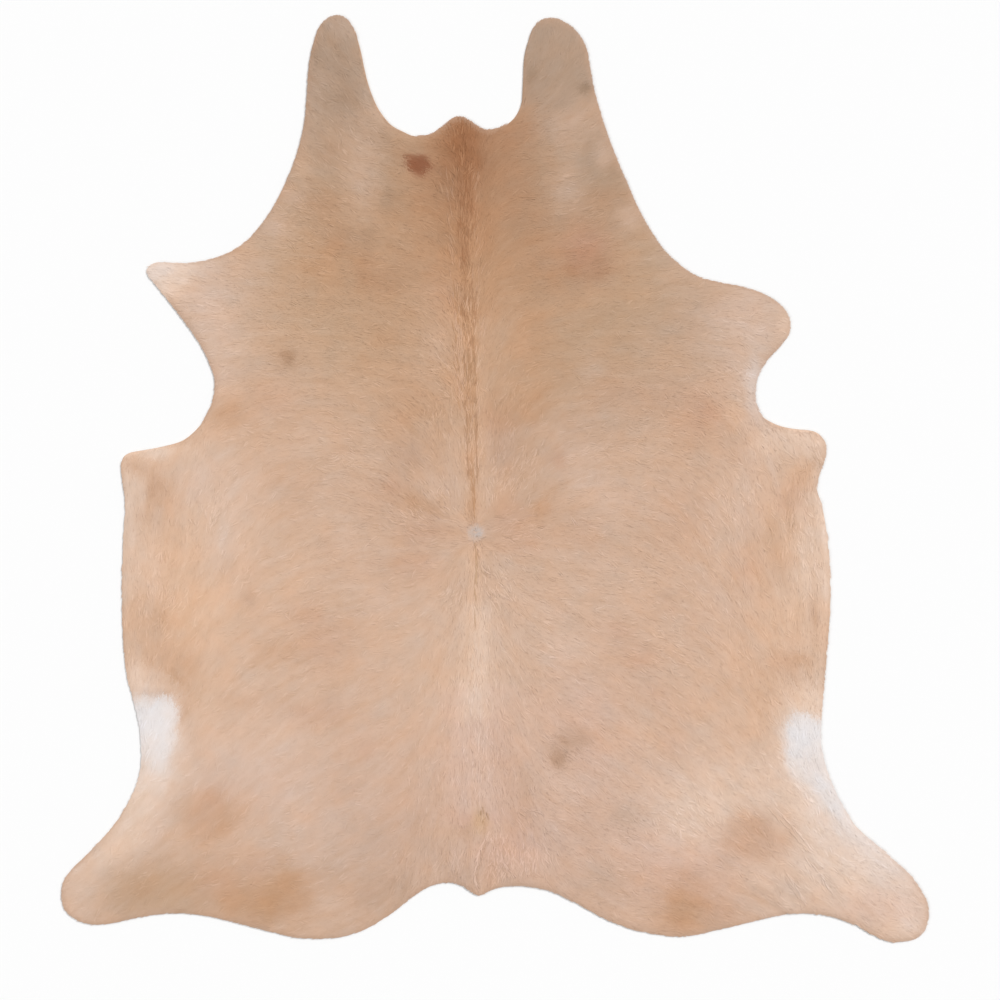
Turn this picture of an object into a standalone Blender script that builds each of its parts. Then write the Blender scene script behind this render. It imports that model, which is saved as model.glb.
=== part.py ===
# Hair-on cowhide floor rug: one whole tanned skin with its short coat left on, lying flat.
# The origin is on the floor under the middle of the hide, +Y runs to the neck and +X to the right flank.
# Run it with blender --background --python part.py, or from Blender's text editor.
import math

import bmesh
import bpy
import numpy as np
from mathutils import Vector

CENTIMETRE = 0.01
MILLIMETRE = 0.001

# Driving dimensions of the skin and of the coat that lies on it.
SKIN_THICKNESS = 2.2 * MILLIMETRE
COAT_DEPTH = 3.3 * MILLIMETRE
EDGE_THICKNESS = 2.6 * MILLIMETRE       # skin and a little hair, where the knife has cut it
EDGE_ROLL = 16 * MILLIMETRE             # how far in from the cut the coat reaches its full depth

# The hide is thicker along the back and on the neck than at the belly.
BACK_EXTRA = 0.7 * MILLIMETRE
BACK_HALF_WIDTH = 45 * CENTIMETRE
NECK_EXTRA = 0.5 * MILLIMETRE
NECK_STARTS = 140 * CENTIMETRE
NECK_ENDS = 185 * CENTIMETRE

# Slow unevenness of a skin that was stretched to dry: height, wave length across and along the
# hide, and the part of a turn at which the wave starts.
WAVES = (
    {"height": 0.22 * MILLIMETRE, "across": 0.61, "along": 0.83, "start_turn": 0.1},
    {"height": 0.16 * MILLIMETRE, "across": -0.37, "along": 0.29, "start_turn": 0.33},
)

# Fineness of the faceted solid.
STEPS_BETWEEN_POINTS = 2
RIM_STEPS = (5 * MILLIMETRE, 9 * MILLIMETRE)
CELL = 4 * CENTIMETRE                   # half that beside the backbone
BACKBONE_BAND = 8 * CENTIMETRE
SNAP = 5 * MILLIMETRE

# The cut outline, in centimetres: out from the backbone, with the right side positive, and up from
# the tail towards the neck. It goes round anticlockwise, seen from above, from the left neck lobe.
OUTLINE = {
    "left neck lobe, outer side": (
        (-32.8, 211.4), (-36.2, 209.9), (-38.3, 206.0), (-39.9, 197.9), (-41.1, 184.3),
    ),
    "left shoulder": (
        (-46.8, 168.2), (-52.3, 159.8), (-56.3, 155.9), (-62.8, 152.9), (-70.1, 151.7),
    ),
    "left fore shank": (
        (-76.1, 152.0), (-78.3, 151.0), (-78.7, 149.5), (-77.4, 147.6), (-68.3, 135.9),
    ),
    "left armpit": (
        (-62.9, 125.8), (-62.4, 122.0), (-63.4, 117.4), (-66.5, 112.4), (-71.2, 108.9),
        (-81.6, 106.7), (-84.1, 105.7), (-84.9, 103.7),
    ),
    "left belly": (
        (-84.5, 99.5), (-83.9, 95.0), (-84.4, 85.4), (-84.6, 69.0), (-83.4, 52.5), (-81.4, 45.0),
        (-80.0, 36.0), (-80.4, 29.3), (-82.5, 23.5),
    ),
    "left hind shank": (
        (-88.3, 15.0), (-94.5, 8.4), (-98.4, 4.0), (-99.2, 0.6), (-98.6, -3.0), (-96.6, -5.2),
        (-93.1, -6.7), (-89.0, -6.9), (-81.6, -5.4),
    ),
    "left rump": (
        (-71.5, -4.2), (-61.3, -5.5), (-43.6, -9.9), (-37.2, -10.3), (-29.5, -9.3), (-21.6, -5.4),
        (-14.9, -0.3), (-11.3, 2.0), (-6.7, 3.1), (-2.9, 2.3),
    ),
    "tail": (
        (-0.5, 0.7), (1.0, 0.0), (3.4, 1.1), (7.5, 2.2),
    ),
    "right rump": (
        (15.0, 1.8), (20.6, 0.1), (29.8, -4.9), (37.2, -7.9), (44.4, -9.5), (50.2, -9.8), (55.4, -8.9),
        (69.2, -5.6), (75.3, -4.4), (80.8, -4.3), (86.3, -5.2),
    ),
    "right hind shank": (
        (91.2, -7.0), (98.9, -10.9), (102.9, -11.0), (106.9, -9.8), (108.7, -6.6), (108.9, -2.4),
        (107.3, 1.0), (103.9, 5.6), (92.4, 15.9), (88.8, 20.9),
    ),
    "right belly": (
        (86.0, 26.4), (83.9, 32.5), (83.2, 39.5), (84.0, 51.8), (85.4, 71.0),
        (84.9, 85.0), (83.4, 94.1),
    ),
    "right elbow notch": (
        (82.1, 98.8), (82.9, 101.5), (84.0, 104.4), (84.5, 107.7), (83.6, 110.0), (81.6, 111.5),
    ),
    "right armpit": (
        (78.0, 112.0), (74.3, 112.6), (70.8, 114.0), (68.5, 116.0), (67.4, 120.5), (68.4, 125.4),
        (70.8, 129.2),
    ),
    "right fore shank": (
        (75.1, 134.1), (75.8, 137.0), (75.3, 139.3), (73.0, 142.2), (67.4, 145.2), (60.0, 147.0),
    ),
    "right shoulder": (
        (53.9, 148.4), (49.9, 150.9), (44.2, 156.7), (36.5, 171.4), (29.4, 190.8),
    ),
    "right neck lobe": (
        (27.7, 198.9), (26.8, 203.5), (25.0, 206.8), (21.5, 209.8), (18.0, 210.7), (15.2, 209.7),
        (13.2, 206.4), (11.7, 200.5), (11.3, 191.6), (10.5, 188.5),
    ),
    "neck edge": (
        (8.3, 185.7), (4.7, 184.0), (2.0, 184.1), (-1.6, 186.4), (-3.6, 187.1), (-5.6, 186.4),
        (-10.4, 182.8), (-13.2, 182.2), (-17.1, 183.5), (-20.6, 185.7),
    ),
    "left neck lobe, inner side": (
        (-24.5, 192.2), (-26.4, 198.8), (-28.3, 206.6), (-30.3, 210.1),
    ),
}

# Ridges and creases that stand out from the coat, a row each: where it starts and ends, in
# centimetres out and up, its height in millimetres (below zero for a crease) and its half width.
FOLDS = (
    {"name": "mane, upper", "start": (-3.6, 184), "end": (-1.9, 143), "height": 1.6, "reach": 2.8},
    {"name": "mane, lower", "start": (-1.9, 143), "end": (0.0, 90), "height": 1.4, "reach": 2.4},
    {"name": "neck cross fold", "start": (-8.0, 176), "end": (1.0, 177), "height": -0.8, "reach": 2.4},
    {"name": "whorl", "start": (0.2, 87.1), "end": (0.3, 86.6), "height": -1.2, "reach": 2.4},
    {"name": "parting", "start": (0.3, 84), "end": (1.4, 60), "height": -0.6, "reach": 2.2},
    {"name": "lower back band", "start": (1.4, 60), "end": (2.2, 24), "height": -0.5, "reach": 4.0},
    {"name": "tail tuft", "start": (1.7, 20), "end": (1.2, 4), "height": 2.2, "reach": 3.2},
    {"name": "tail tuft, right", "start": (6.0, 13), "end": (12.0, 7), "height": 1.3, "reach": 4.0},
    {"name": "right thigh fold", "start": (78.0, 16), "end": (93.0, -2), "height": 0.9, "reach": 2.6},
    {"name": "right shank fold", "start": (64.0, 6), "end": (78.0, -5), "height": 0.7, "reach": 2.6},
    {"name": "left thigh crease", "start": (-26.5, 57), "end": (-39.5, 30), "height": -0.5, "reach": 2.6},
    {"name": "right thigh crease", "start": (39.5, 49), "end": (62.5, 35), "height": -0.5, "reach": 2.6},
    {"name": "left flank crease", "start": (-66.0, 61), "end": (-69.5, 49), "height": -0.6, "reach": 2.4},
    {"name": "left flank fold", "start": (-81.0, 48), "end": (-70.5, 49), "height": -0.7, "reach": 2.2},
    {"name": "right flank crease", "start": (79.0, 93), "end": (76.0, 78), "height": -0.6, "reach": 2.4},
    {"name": "left elbow tuft", "start": (-78.5, 98), "end": (-77.5, 95), "height": 0.9, "reach": 3.6},
    {"name": "left neck fold", "start": (-40.0, 172), "end": (-34.0, 170), "height": -0.6, "reach": 2.4},
)

# Pale tan coat.
COAT_COLOUR = (0.610, 0.413, 0.301, 1.0)
COAT_ROUGHNESS = 0.62


def clear_scene():
    for thing in list(bpy.data.objects):
        bpy.data.objects.remove(thing, do_unlink=True)


def new_collection(name):
    collection = bpy.data.collections.new(name)
    bpy.context.scene.collection.children.link(collection)
    return collection


def coat_material():
    """Short dry hair: pale tan, a soft sheen, no metal in it."""
    material = bpy.data.materials.new("hair-on leather")
    material.use_nodes = True
    shader = material.node_tree.nodes["Principled BSDF"]
    shader.inputs["Base Color"].default_value = COAT_COLOUR
    shader.inputs["Roughness"].default_value = COAT_ROUGHNESS
    shader.inputs["Metallic"].default_value = 0.0
    material.diffuse_color = COAT_COLOUR
    return material


def cut_outline():
    """The knife's line as a flat filled curve, smooth through every point of the table."""
    points = [point for stretch in OUTLINE.values() for point in stretch]
    curve = bpy.data.curves.new("cut outline", "CURVE")
    curve.dimensions = "2D"
    curve.fill_mode = "BOTH"
    curve.resolution_u = STEPS_BETWEEN_POINTS
    curve.render_resolution_u = STEPS_BETWEEN_POINTS
    spline = curve.splines.new("BEZIER")
    spline.bezier_points.add(len(points) - 1)
    spline.use_cyclic_u = True
    for knot, (out, up) in zip(spline.bezier_points, points):
        knot.co = (out * CENTIMETRE, up * CENTIMETRE, 0)
        knot.handle_left_type = "AUTO"
        knot.handle_right_type = "AUTO"
    outline = bpy.data.objects.new("cut outline", curve)
    bpy.context.scene.collection.objects.link(outline)
    return outline


def one_flat_face(outline):
    """The filled curve as a mesh of a single flat face that looks up."""
    evaluated = outline.evaluated_get(bpy.context.evaluated_depsgraph_get())
    flat = bpy.data.meshes.new_from_object(evaluated)
    bpy.data.objects.remove(outline, do_unlink=True)
    skin = bmesh.new()
    skin.from_mesh(flat)
    bpy.data.meshes.remove(flat)
    bmesh.ops.remove_doubles(skin, verts=skin.verts, dist=0.0001)
    bmesh.ops.dissolve_faces(skin, faces=skin.faces, use_verts=False)
    skin.normal_update()
    face = next(iter(skin.faces))
    if face.normal.z < 0:
        face.normal_flip()
    return skin


def edge_line(skin):
    """Corner points of the outline, in order."""
    face = next(iter(skin.faces))
    return np.array([corner.vert.co.xy[:] for corner in face.loops])


def add_rim(skin):
    """Narrow bands along the cut, for the coat's rounded edge. The last face left is the inside."""
    inside = next(iter(skin.faces))
    for width in RIM_STEPS:
        bmesh.ops.inset_individual(skin, faces=[inside], thickness=width, use_even_offset=True)
    return inside


def cut_places(low, high, fine_band):
    """Where the cuts go: a cell apart, and half a cell apart within the fine band round zero."""
    halves = int((high - low) / CELL)
    places = [(low + high) / 2 + step * CELL / 2 for step in range(-halves, halves + 1)]
    return [place for step, place in enumerate(places) if step % 2 == 0 or abs(place) < fine_band]


def cut_into_cells(skin, inside, line):
    """Straight cuts both ways over the inside, so that it can follow the relief."""
    low = line.min(axis=0)
    high = line.max(axis=0)
    across = [Vector((place, 0, 0)) for place in cut_places(low[0], high[0], BACKBONE_BAND)]
    along = [Vector((0, place, 0)) for place in cut_places(low[1], high[1], 0)]
    region = [inside]
    for places, normal in ((across, Vector((1, 0, 0))), (along, Vector((0, 1, 0)))):
        for place in places:
            parts = dict.fromkeys(region)
            for face in region:
                parts.update(dict.fromkeys(face.verts))
                parts.update(dict.fromkeys(face.edges))
            cut = bmesh.ops.bisect_plane(skin, geom=list(parts), dist=SNAP, plane_co=place, plane_no=normal)
            region = [item for item in cut["geom"] if isinstance(item, bmesh.types.BMFace)]
    bmesh.ops.triangulate(skin, faces=skin.faces, quad_method="BEAUTY", ngon_method="BEAUTY")


def distance_to_line(places, start, end):
    """Shortest way from each place to the straight stretch from start to end."""
    along = end - start
    share = np.clip(((places - start) @ along) / (along @ along), 0, 1)
    return np.linalg.norm(places - start - share[:, None] * along, axis=1)


def smooth_rise(value):
    value = np.clip(value, 0, 1)
    return value * value * (3 - 2 * value)


def coat_heights(places, line):
    """Height of the coat's top over the floor at each place, given as out and up in metres."""
    out = places[:, 0]
    up = places[:, 1]
    height = np.full(len(places), SKIN_THICKNESS + COAT_DEPTH)
    height += BACK_EXTRA * (1 - smooth_rise(np.abs(out) / BACK_HALF_WIDTH))
    height += NECK_EXTRA * smooth_rise((up - NECK_STARTS) / (NECK_ENDS - NECK_STARTS))
    for wave in WAVES:
        turns = out / wave["across"] + up / wave["along"] + wave["start_turn"]
        height += wave["height"] * np.sin(math.tau * turns)
    for fold in FOLDS:
        start = np.array(fold["start"]) * CENTIMETRE
        end = np.array(fold["end"]) * CENTIMETRE
        away = distance_to_line(places, start, end) / (fold["reach"] * CENTIMETRE)
        height += fold["height"] * MILLIMETRE * np.exp(-away ** 2)
    from_edge = np.full(len(places), np.inf)
    for start, end in zip(line, np.roll(line, -1, axis=0)):
        from_edge = np.minimum(from_edge, distance_to_line(places, start, end))
    rim = np.sqrt(1 - (1 - np.clip(from_edge / EDGE_ROLL, 0, 1)) ** 2)
    return EDGE_THICKNESS + (height - EDGE_THICKNESS) * rim


def raise_coat(skin, line):
    places = np.array([vert.co.xy[:] for vert in skin.verts])
    for vert, height in zip(skin.verts, coat_heights(places, line)):
        vert.co.z = height


def close_underside(skin):
    """The cut edge runs straight down to the floor, and the flesh side is one flat face."""
    border = [edge for edge in skin.edges if edge.is_boundary]
    walls = bmesh.ops.extrude_edge_only(skin, edges=border)
    lower = [item for item in walls["geom"] if isinstance(item, bmesh.types.BMVert)]
    for vert in lower:
        vert.co.z = 0
    foot = [edge for edge in skin.edges if edge.is_boundary]
    bmesh.ops.contextual_create(skin, geom=foot)
    bmesh.ops.recalc_face_normals(skin, faces=skin.faces)


def make_hide(collection):
    """The one piece: skin and coat as a closed solid with a flat underside."""
    skin = one_flat_face(cut_outline())
    line = edge_line(skin)
    inside = add_rim(skin)
    cut_into_cells(skin, inside, line)
    raise_coat(skin, line)
    close_underside(skin)
    middle = (line.min(axis=0) + line.max(axis=0)) / 2
    bmesh.ops.translate(skin, verts=skin.verts, vec=(-middle[0], -middle[1], 0))
    mesh = bpy.data.meshes.new("hide")
    skin.to_mesh(mesh)
    skin.free()
    mesh.shade_smooth()
    mesh.set_sharp_from_angle(angle=math.radians(50))
    mesh.materials.append(coat_material())
    hide = bpy.data.objects.new("hide", mesh)
    collection.objects.link(hide)
    return hide


clear_scene()
make_hide(new_collection("cowhide"))
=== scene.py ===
import math

import bmesh
import bpy
import numpy as np
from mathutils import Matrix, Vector, kdtree
from mathutils.bvhtree import BVHTree


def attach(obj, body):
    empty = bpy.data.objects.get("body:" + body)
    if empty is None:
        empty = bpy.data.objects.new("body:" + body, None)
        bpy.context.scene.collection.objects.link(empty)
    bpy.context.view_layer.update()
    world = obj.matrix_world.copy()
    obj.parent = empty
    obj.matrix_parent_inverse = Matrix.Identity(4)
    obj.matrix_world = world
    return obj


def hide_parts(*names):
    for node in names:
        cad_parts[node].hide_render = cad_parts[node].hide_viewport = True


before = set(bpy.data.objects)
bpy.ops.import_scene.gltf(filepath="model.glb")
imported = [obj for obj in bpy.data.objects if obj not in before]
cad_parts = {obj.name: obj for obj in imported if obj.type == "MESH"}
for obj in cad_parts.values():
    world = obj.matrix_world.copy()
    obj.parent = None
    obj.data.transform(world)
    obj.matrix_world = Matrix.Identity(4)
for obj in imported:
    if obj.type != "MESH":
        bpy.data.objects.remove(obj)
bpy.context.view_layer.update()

# The skin
# One whole tanned cattle skin, 2.2 mm of leather with its flesh side down. It was stretched, dried and
# trimmed with a knife to this outline, and it lies loose on the floor in the low waves that it kept.
CENTIMETRE = 0.01
MILLIMETRE = 0.001
BACKBONE_X = -4.87 * CENTIMETRE
TAIL_Y = -100.17 * CENTIMETRE
SKIN_THICKNESS = 2.2 * MILLIMETRE
COAT_DEPTH = 3.3 * MILLIMETRE
COAT_DEPTH_AT_EDGE = 0.4 * MILLIMETRE
LOOSE_DEPTH = 0.9 * MILLIMETRE
EDGE_ROLL = 16 * MILLIMETRE
CUT_BACK = 1.5 * MILLIMETRE
CUT_BULGE = 0.3 * MILLIMETRE
MAP_STEP = 6 * MILLIMETRE
MAP_MARGIN = 5 * CENTIMETRE
SKIN_CELL = 15 * MILLIMETRE
CURVE_STEPS = 4
EVENING_ROUNDS = 4
SAME_PLACE = MILLIMETRE / 1000
FACING_DOWN = -0.9


def outline_of(solid):
    """The border of the solid's flat underside, in order, as places seen from above."""
    net = bmesh.new()
    net.from_mesh(solid.data)
    bmesh.ops.remove_doubles(net, verts=net.verts, dist=SAME_PLACE)
    net.normal_update()
    underside = {face for face in net.faces if face.normal.z < FACING_DOWN}
    following = {}
    for face in underside:
        for loop in face.loops:
            if sum(other in underside for other in loop.edge.link_faces) == 1:
                following[loop.vert] = loop.link_loop_next.vert
    start = min(following, key=lambda vert: (vert.co.x, vert.co.y))
    border = [start]
    while following[border[-1]] is not start:
        border.append(following[border[-1]])
    places = np.array([vert.co.xy for vert in border])[::-1]
    top = BVHTree.FromBMesh(net)
    net.free()
    return places, top


def rounded(places, steps):
    """A smooth closed curve through the places, with that many steps between two of them."""
    before, after, later = (np.roll(places, turn, axis=0) for turn in (1, -1, -2))
    curve = []
    for step in range(steps):
        t = step / steps
        curve.append(
            0.5 * (2 * places + (after - before) * t
                   + (2 * before - 5 * places + 4 * after - later) * t ** 2
                   + (3 * places - before - 3 * after + later) * t ** 3)
        )
    return np.stack(curve, axis=1).reshape(-1, 2)


def inside_outline(loop, xs, ys):
    """For each row of places, which lie inside the outline."""
    ends = np.roll(loop, -1, axis=0)
    rows = []
    for y in ys:
        crossing = (loop[:, 1] > y) != (ends[:, 1] > y)
        start, end = loop[crossing], ends[crossing]
        share = (y - start[:, 1]) / (end[:, 1] - start[:, 1])
        cuts = np.sort(start[:, 0] + share * (end[:, 0] - start[:, 0]))
        rows.append(np.searchsorted(cuts, xs) % 2 == 1)
    return np.array(rows)


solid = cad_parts["hide"]
corner_loop, solid_top = outline_of(solid)
outline = rounded(corner_loop, CURVE_STEPS)
low_corner = outline.min(axis=0) - MAP_MARGIN
high_corner = outline.max(axis=0) + MAP_MARGIN
map_x = np.arange(low_corner[0], high_corner[0], MAP_STEP)
map_y = np.arange(low_corner[1], high_corner[1], MAP_STEP)
map_inside = inside_outline(outline, map_x, map_y)


# A place past the map's last line is read just inside it.
FROM_LAST_LINE = 1.001


def blended(values, row, column, next_row, next_column, up, right):
    """What lies between four neighbours of a table of values."""
    lower = values[row, column] * (1 - right) + values[row, next_column] * right
    upper = values[next_row, column] * (1 - right) + values[next_row, next_column] * right
    return lower * (1 - up) + upper * up


def field(values):
    """A reader of values known over the map, for any places between."""
    def read(x, y):
        across = np.clip((x - map_x[0]) / MAP_STEP, 0, len(map_x) - FROM_LAST_LINE)
        along = np.clip((y - map_y[0]) / MAP_STEP, 0, len(map_y) - FROM_LAST_LINE)
        column = across.astype(int)
        row = along.astype(int)
        return blended(values, row, column, row + 1, column + 1, along - row, across - column)
    return read


def distances_to_outline():
    """How far each place of the map lies inside the outline, and less than zero outside it."""
    tree = kdtree.KDTree(len(outline))
    for index, (x, y) in enumerate(outline):
        tree.insert((x, y, 0), index)
    tree.balance()
    ends = np.roll(outline, -1, axis=0)
    far = np.empty((len(map_y), len(map_x)))
    for row, y in enumerate(map_y):
        for column, x in enumerate(map_x):
            index = tree.find((x, y, 0))[1]
            best = math.inf
            for first in (index - 1, index):
                a, b = outline[first], ends[first]
                along = b - a
                share = min(1, max(0, ((x - a[0]) * along[0] + (y - a[1]) * along[1]) / (along @ along)))
                best = min(best, math.hypot(x - a[0] - share * along[0], y - a[1] - share * along[1]))
            far[row, column] = best
    return np.where(map_inside, far, -far)


def heights_of_solid():
    """The solid's top over the map, with its small facets evened out."""
    edge_height = SKIN_THICKNESS + COAT_DEPTH_AT_EDGE
    heights = np.full((len(map_y), len(map_x)), edge_height)
    down = Vector((0, 0, -1))
    for row, column in np.argwhere(map_inside):
        hit = solid_top.ray_cast(Vector((map_x[column], map_y[row], 1)), down)[0]
        if hit is not None:
            heights[row, column] = hit.z
    for _ in range(EVENING_ROUNDS):
        padded = np.pad(heights, 1, mode="edge")
        heights = (padded[1:-1, :-2] + padded[1:-1, 2:] + padded[:-2, 1:-1] + padded[2:, 1:-1]
                   + 2 * padded[1:-1, 1:-1]) / 6
    return heights


def smooth_rise(share):
    share = np.clip(share, 0, 1)
    return share * share * (3 - 2 * share)


def out_up(x, y):
    """Centimetres out from the backbone and up from the tail's end."""
    return (x - BACKBONE_X) / CENTIMETRE, (y - TAIL_Y) / CENTIMETRE


def distance_to_path(out, up, path):
    """How far places lie from a line of straight runs, and how far along it, from 0 to 1."""
    nearest = np.full(np.shape(out), np.inf)
    share_along = np.zeros(np.shape(out))
    runs = len(path) - 1
    for run in range(runs):
        (x0, y0), (x1, y1) = path[run], path[run + 1]
        long = (x1 - x0) ** 2 + (y1 - y0) ** 2
        share = np.clip(((out - x0) * (x1 - x0) + (up - y0) * (y1 - y0)) / long, 0, 1)
        far = np.hypot(out - x0 - share * (x1 - x0), up - y0 - share * (y1 - y0))
        closer = far < nearest
        nearest = np.where(closer, far, nearest)
        share_along = np.where(closer, (run + share) / runs, share_along)
    return nearest, share_along


BACKBONE = ((-3.6, 187), (-2.9, 172), (-1.9, 143), (-1.0, 119), (-0.2, 90), (0.1, 87), (0.0, 71), (0.7, 47),
            (1.1, 18), (1.0, 1))

# Fine creases of the skin, in centimetres out and up: the line's two ends, its height in millimetres, which
# is less than zero for a trough, and its reach to each side.
CREASES = (
    # start, end, height, reach
    ((-9, 177), (1, 176), -1.3, 1.3),
    ((-8, 180), (0, 179), 1.0, 1.5),
    ((-46, 171), (-41, 169), -1.2, 1.0),
    ((-45, 173.5), (-40, 172), 0.9, 1.0),
    ((0.3, 84), (1.2, 60), -1.0, 1.1),
    ((-84, 48.5), (-72, 48), -1.5, 0.8),
    ((-82, 51), (-71, 50.5), 1.4, 1.5),
    ((-66, 61), (-68, 50), -0.9, 1.0),
    ((-68, 61), (-70, 51), 0.9, 1.2),
    ((78, 13), (90, -1), 1.2, 1.4),
    ((75, 12), (87, -2), -0.9, 1.2),
    ((65, 6), (78, -6), 1.0, 1.4),
    ((62, 5), (75, -6), -0.8, 1.1),
    ((82, 67), (81, 58), -1.0, 1.0),
    ((-25, 61), (-42, 30), 0.8, 1.6),
    ((40, 49), (62, 35), 0.8, 1.6),
)
CREASE_FADE = 0.2
CREASE_SHARPNESS = 1.5


def crease_heights(out, up):
    """How much the creases raise or lower the skin, each fading towards its two ends."""
    total = np.zeros(np.shape(out))
    for start, end, height, reach in CREASES:
        far, along = distance_to_path(out, up, (start, end))
        fade = smooth_rise(along / CREASE_FADE) * smooth_rise((1 - along) / CREASE_FADE)
        total += height * MILLIMETRE * fade * np.exp(-(far / reach) ** 2 * CREASE_SHARPNESS)
    return total


distance_map = distances_to_outline()
edge_distance = field(distance_map)
grid_x, grid_y = np.meshgrid(map_x, map_y)
depth_share_map = smooth_rise(distance_map / EDGE_ROLL)
coat_depth_map = COAT_DEPTH_AT_EDGE + (COAT_DEPTH - COAT_DEPTH_AT_EDGE) * depth_share_map
skin_top_map = np.maximum(
    SKIN_THICKNESS,
    heights_of_solid() - coat_depth_map + crease_heights(*out_up(grid_x, grid_y))
)
skin_top = field(skin_top_map)

# Dense short down fills most of the coat's depth, and only the hair above it lies loose.
loose_depth_map = np.minimum(coat_depth_map, LOOSE_DEPTH)
loose_depth = field(loose_depth_map)
down_top = field(skin_top_map + coat_depth_map - loose_depth_map)


# An uneven field is read from a square of random numbers, so many to a side, that repeats itself.
LATTICE_SIDE = 64
LATTICE_SHIFT = 1000


def ripple(x, y, size, seed):
    """A smooth uneven field from -1 to 1 whose bumps are about that size."""
    lattice = np.random.default_rng(seed).uniform(-1, 1, (LATTICE_SIDE, LATTICE_SIDE))
    across = x / size + LATTICE_SHIFT
    along = y / size + LATTICE_SHIFT
    column = np.floor(across).astype(int)
    row = np.floor(along).astype(int)
    right = smooth_rise(across - column)
    up = smooth_rise(along - row)
    column, row = column % LATTICE_SIDE, row % LATTICE_SIDE
    next_column, next_row = (column + 1) % LATTICE_SIDE, (row + 1) % LATTICE_SIDE
    return blended(lattice, row, column, next_row, next_column, up, right)


# The lie of the hair on the right side, which the left side mirrors: for each height above the tail's end,
# the distances out from the backbone and the direction there, in degrees up from straight out.
LIE = {
    205: ((19, 75),),
    193: ((15, 45), (27, 45)),
    181: ((0.5, 90), (4, 45), (8, 12), (14, 6), (22, 14), (32, 40)),
    165: ((2.0, 86), (5, 36), (8.5, 8), (13, 5), (20, 8), (34, 20)),
    148: ((2.0, 87), (5, 36), (8.5, 8), (14, 5), (24, 5), (36, 8), (56, 6), (72, 8)),
    128: ((2.5, 86), (6, 48), (10, 14), (16, 3), (32, 0), (50, -5), (66, -20)),
    111: ((3, 86), (8, 62), (15, 36), (27, 10), (42, -6), (58, -22), (66, -60), (80, -60)),
    97: ((3, 84), (8, 60), (14, 46), (25, 18), (38, -12), (52, -38), (64, -72), (80, -86)),
    87: ((4, 5), (12, 8), (25, -8), (40, -22), (54, -52), (68, -76), (82, -86)),
    78: ((2, -75), (6, -48), (14, -12), (30, -10), (46, -28), (62, -60), (80, -84)),
    62: ((3, -80), (8, -58), (18, -18), (36, -12), (52, -30), (66, -60), (82, -86)),
    42: ((3, -86), (10, -60), (22, -28), (42, -36), (58, -38), (72, -60), (81, -90)),
    22: ((3, -88), (10, -74), (22, -28), (40, -30), (56, -42), (72, -42), (88, -54)),
    4: ((3, -90), (12, -72), (28, -26), (46, -18), (62, -24), (78, -38), (100, -32)),
    -8: ((46, -12), (102, -35)),
}
LIE_REACH = 7.0
LEAST_SIZE = 1e-12


def lie_map():
    """The hair's direction over the map, as two parts, out along +X and up along +Y."""
    out, up = out_up(grid_x, grid_y)
    total_x = np.zeros(out.shape)
    total_y = np.zeros(out.shape)
    for height, row in LIE.items():
        for far, degrees in row:
            for mirror in (1, -1):
                square = (out - mirror * far) ** 2 + (up - height) ** 2
                weight = 1 / (square + LIE_REACH ** 2 / 4) ** 2
                total_x += weight * mirror * math.cos(math.radians(degrees))
                total_y += weight * math.sin(math.radians(degrees))
    size = np.hypot(total_x, total_y) + LEAST_SIZE
    return total_x / size, total_y / size


lie_x_map, lie_y_map = lie_map()
lie_x = field(lie_x_map)
lie_y = field(lie_y_map)


def streaks(x, y, size, seed):
    """As a ripple, but drawn out along the coat's lie."""
    ahead_x, ahead_y = lie_x(x, y) * size, lie_y(x, y) * size
    steps = (-2, -1, 0, 1, 2)
    along = [ripple(x + step * ahead_x, y + step * ahead_y, size, seed) for step in steps]
    return sum(along) / len(steps) ** 0.5


# The coat's colours as they look in even light: red, green and blue, each from 0 to 255.
PALETTE = {
    "fawn": (209, 175, 150),
    "clay": (190, 155, 124),
    "smoke": (181, 154, 133),
    "sand": (201, 160, 133),
    "tan": (191, 143, 104),
    "oak": (177, 132, 98),
    "rust": (187, 138, 110),
    "bark": (155, 102, 64),
    "chestnut": (142, 88, 58),
    "soot": (156, 128, 104),
    "umber": (187, 152, 128),
    "peach": (222, 183, 153),
    "silver": (215, 185, 165),
    "ash": (194, 179, 170),
    "cream": (230, 203, 183),
    "white": (232, 225, 223),
    "rose": (213, 176, 160),
    "olive": (203, 166, 130),
}
DYES = tuple(PALETTE)[1:]

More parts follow.
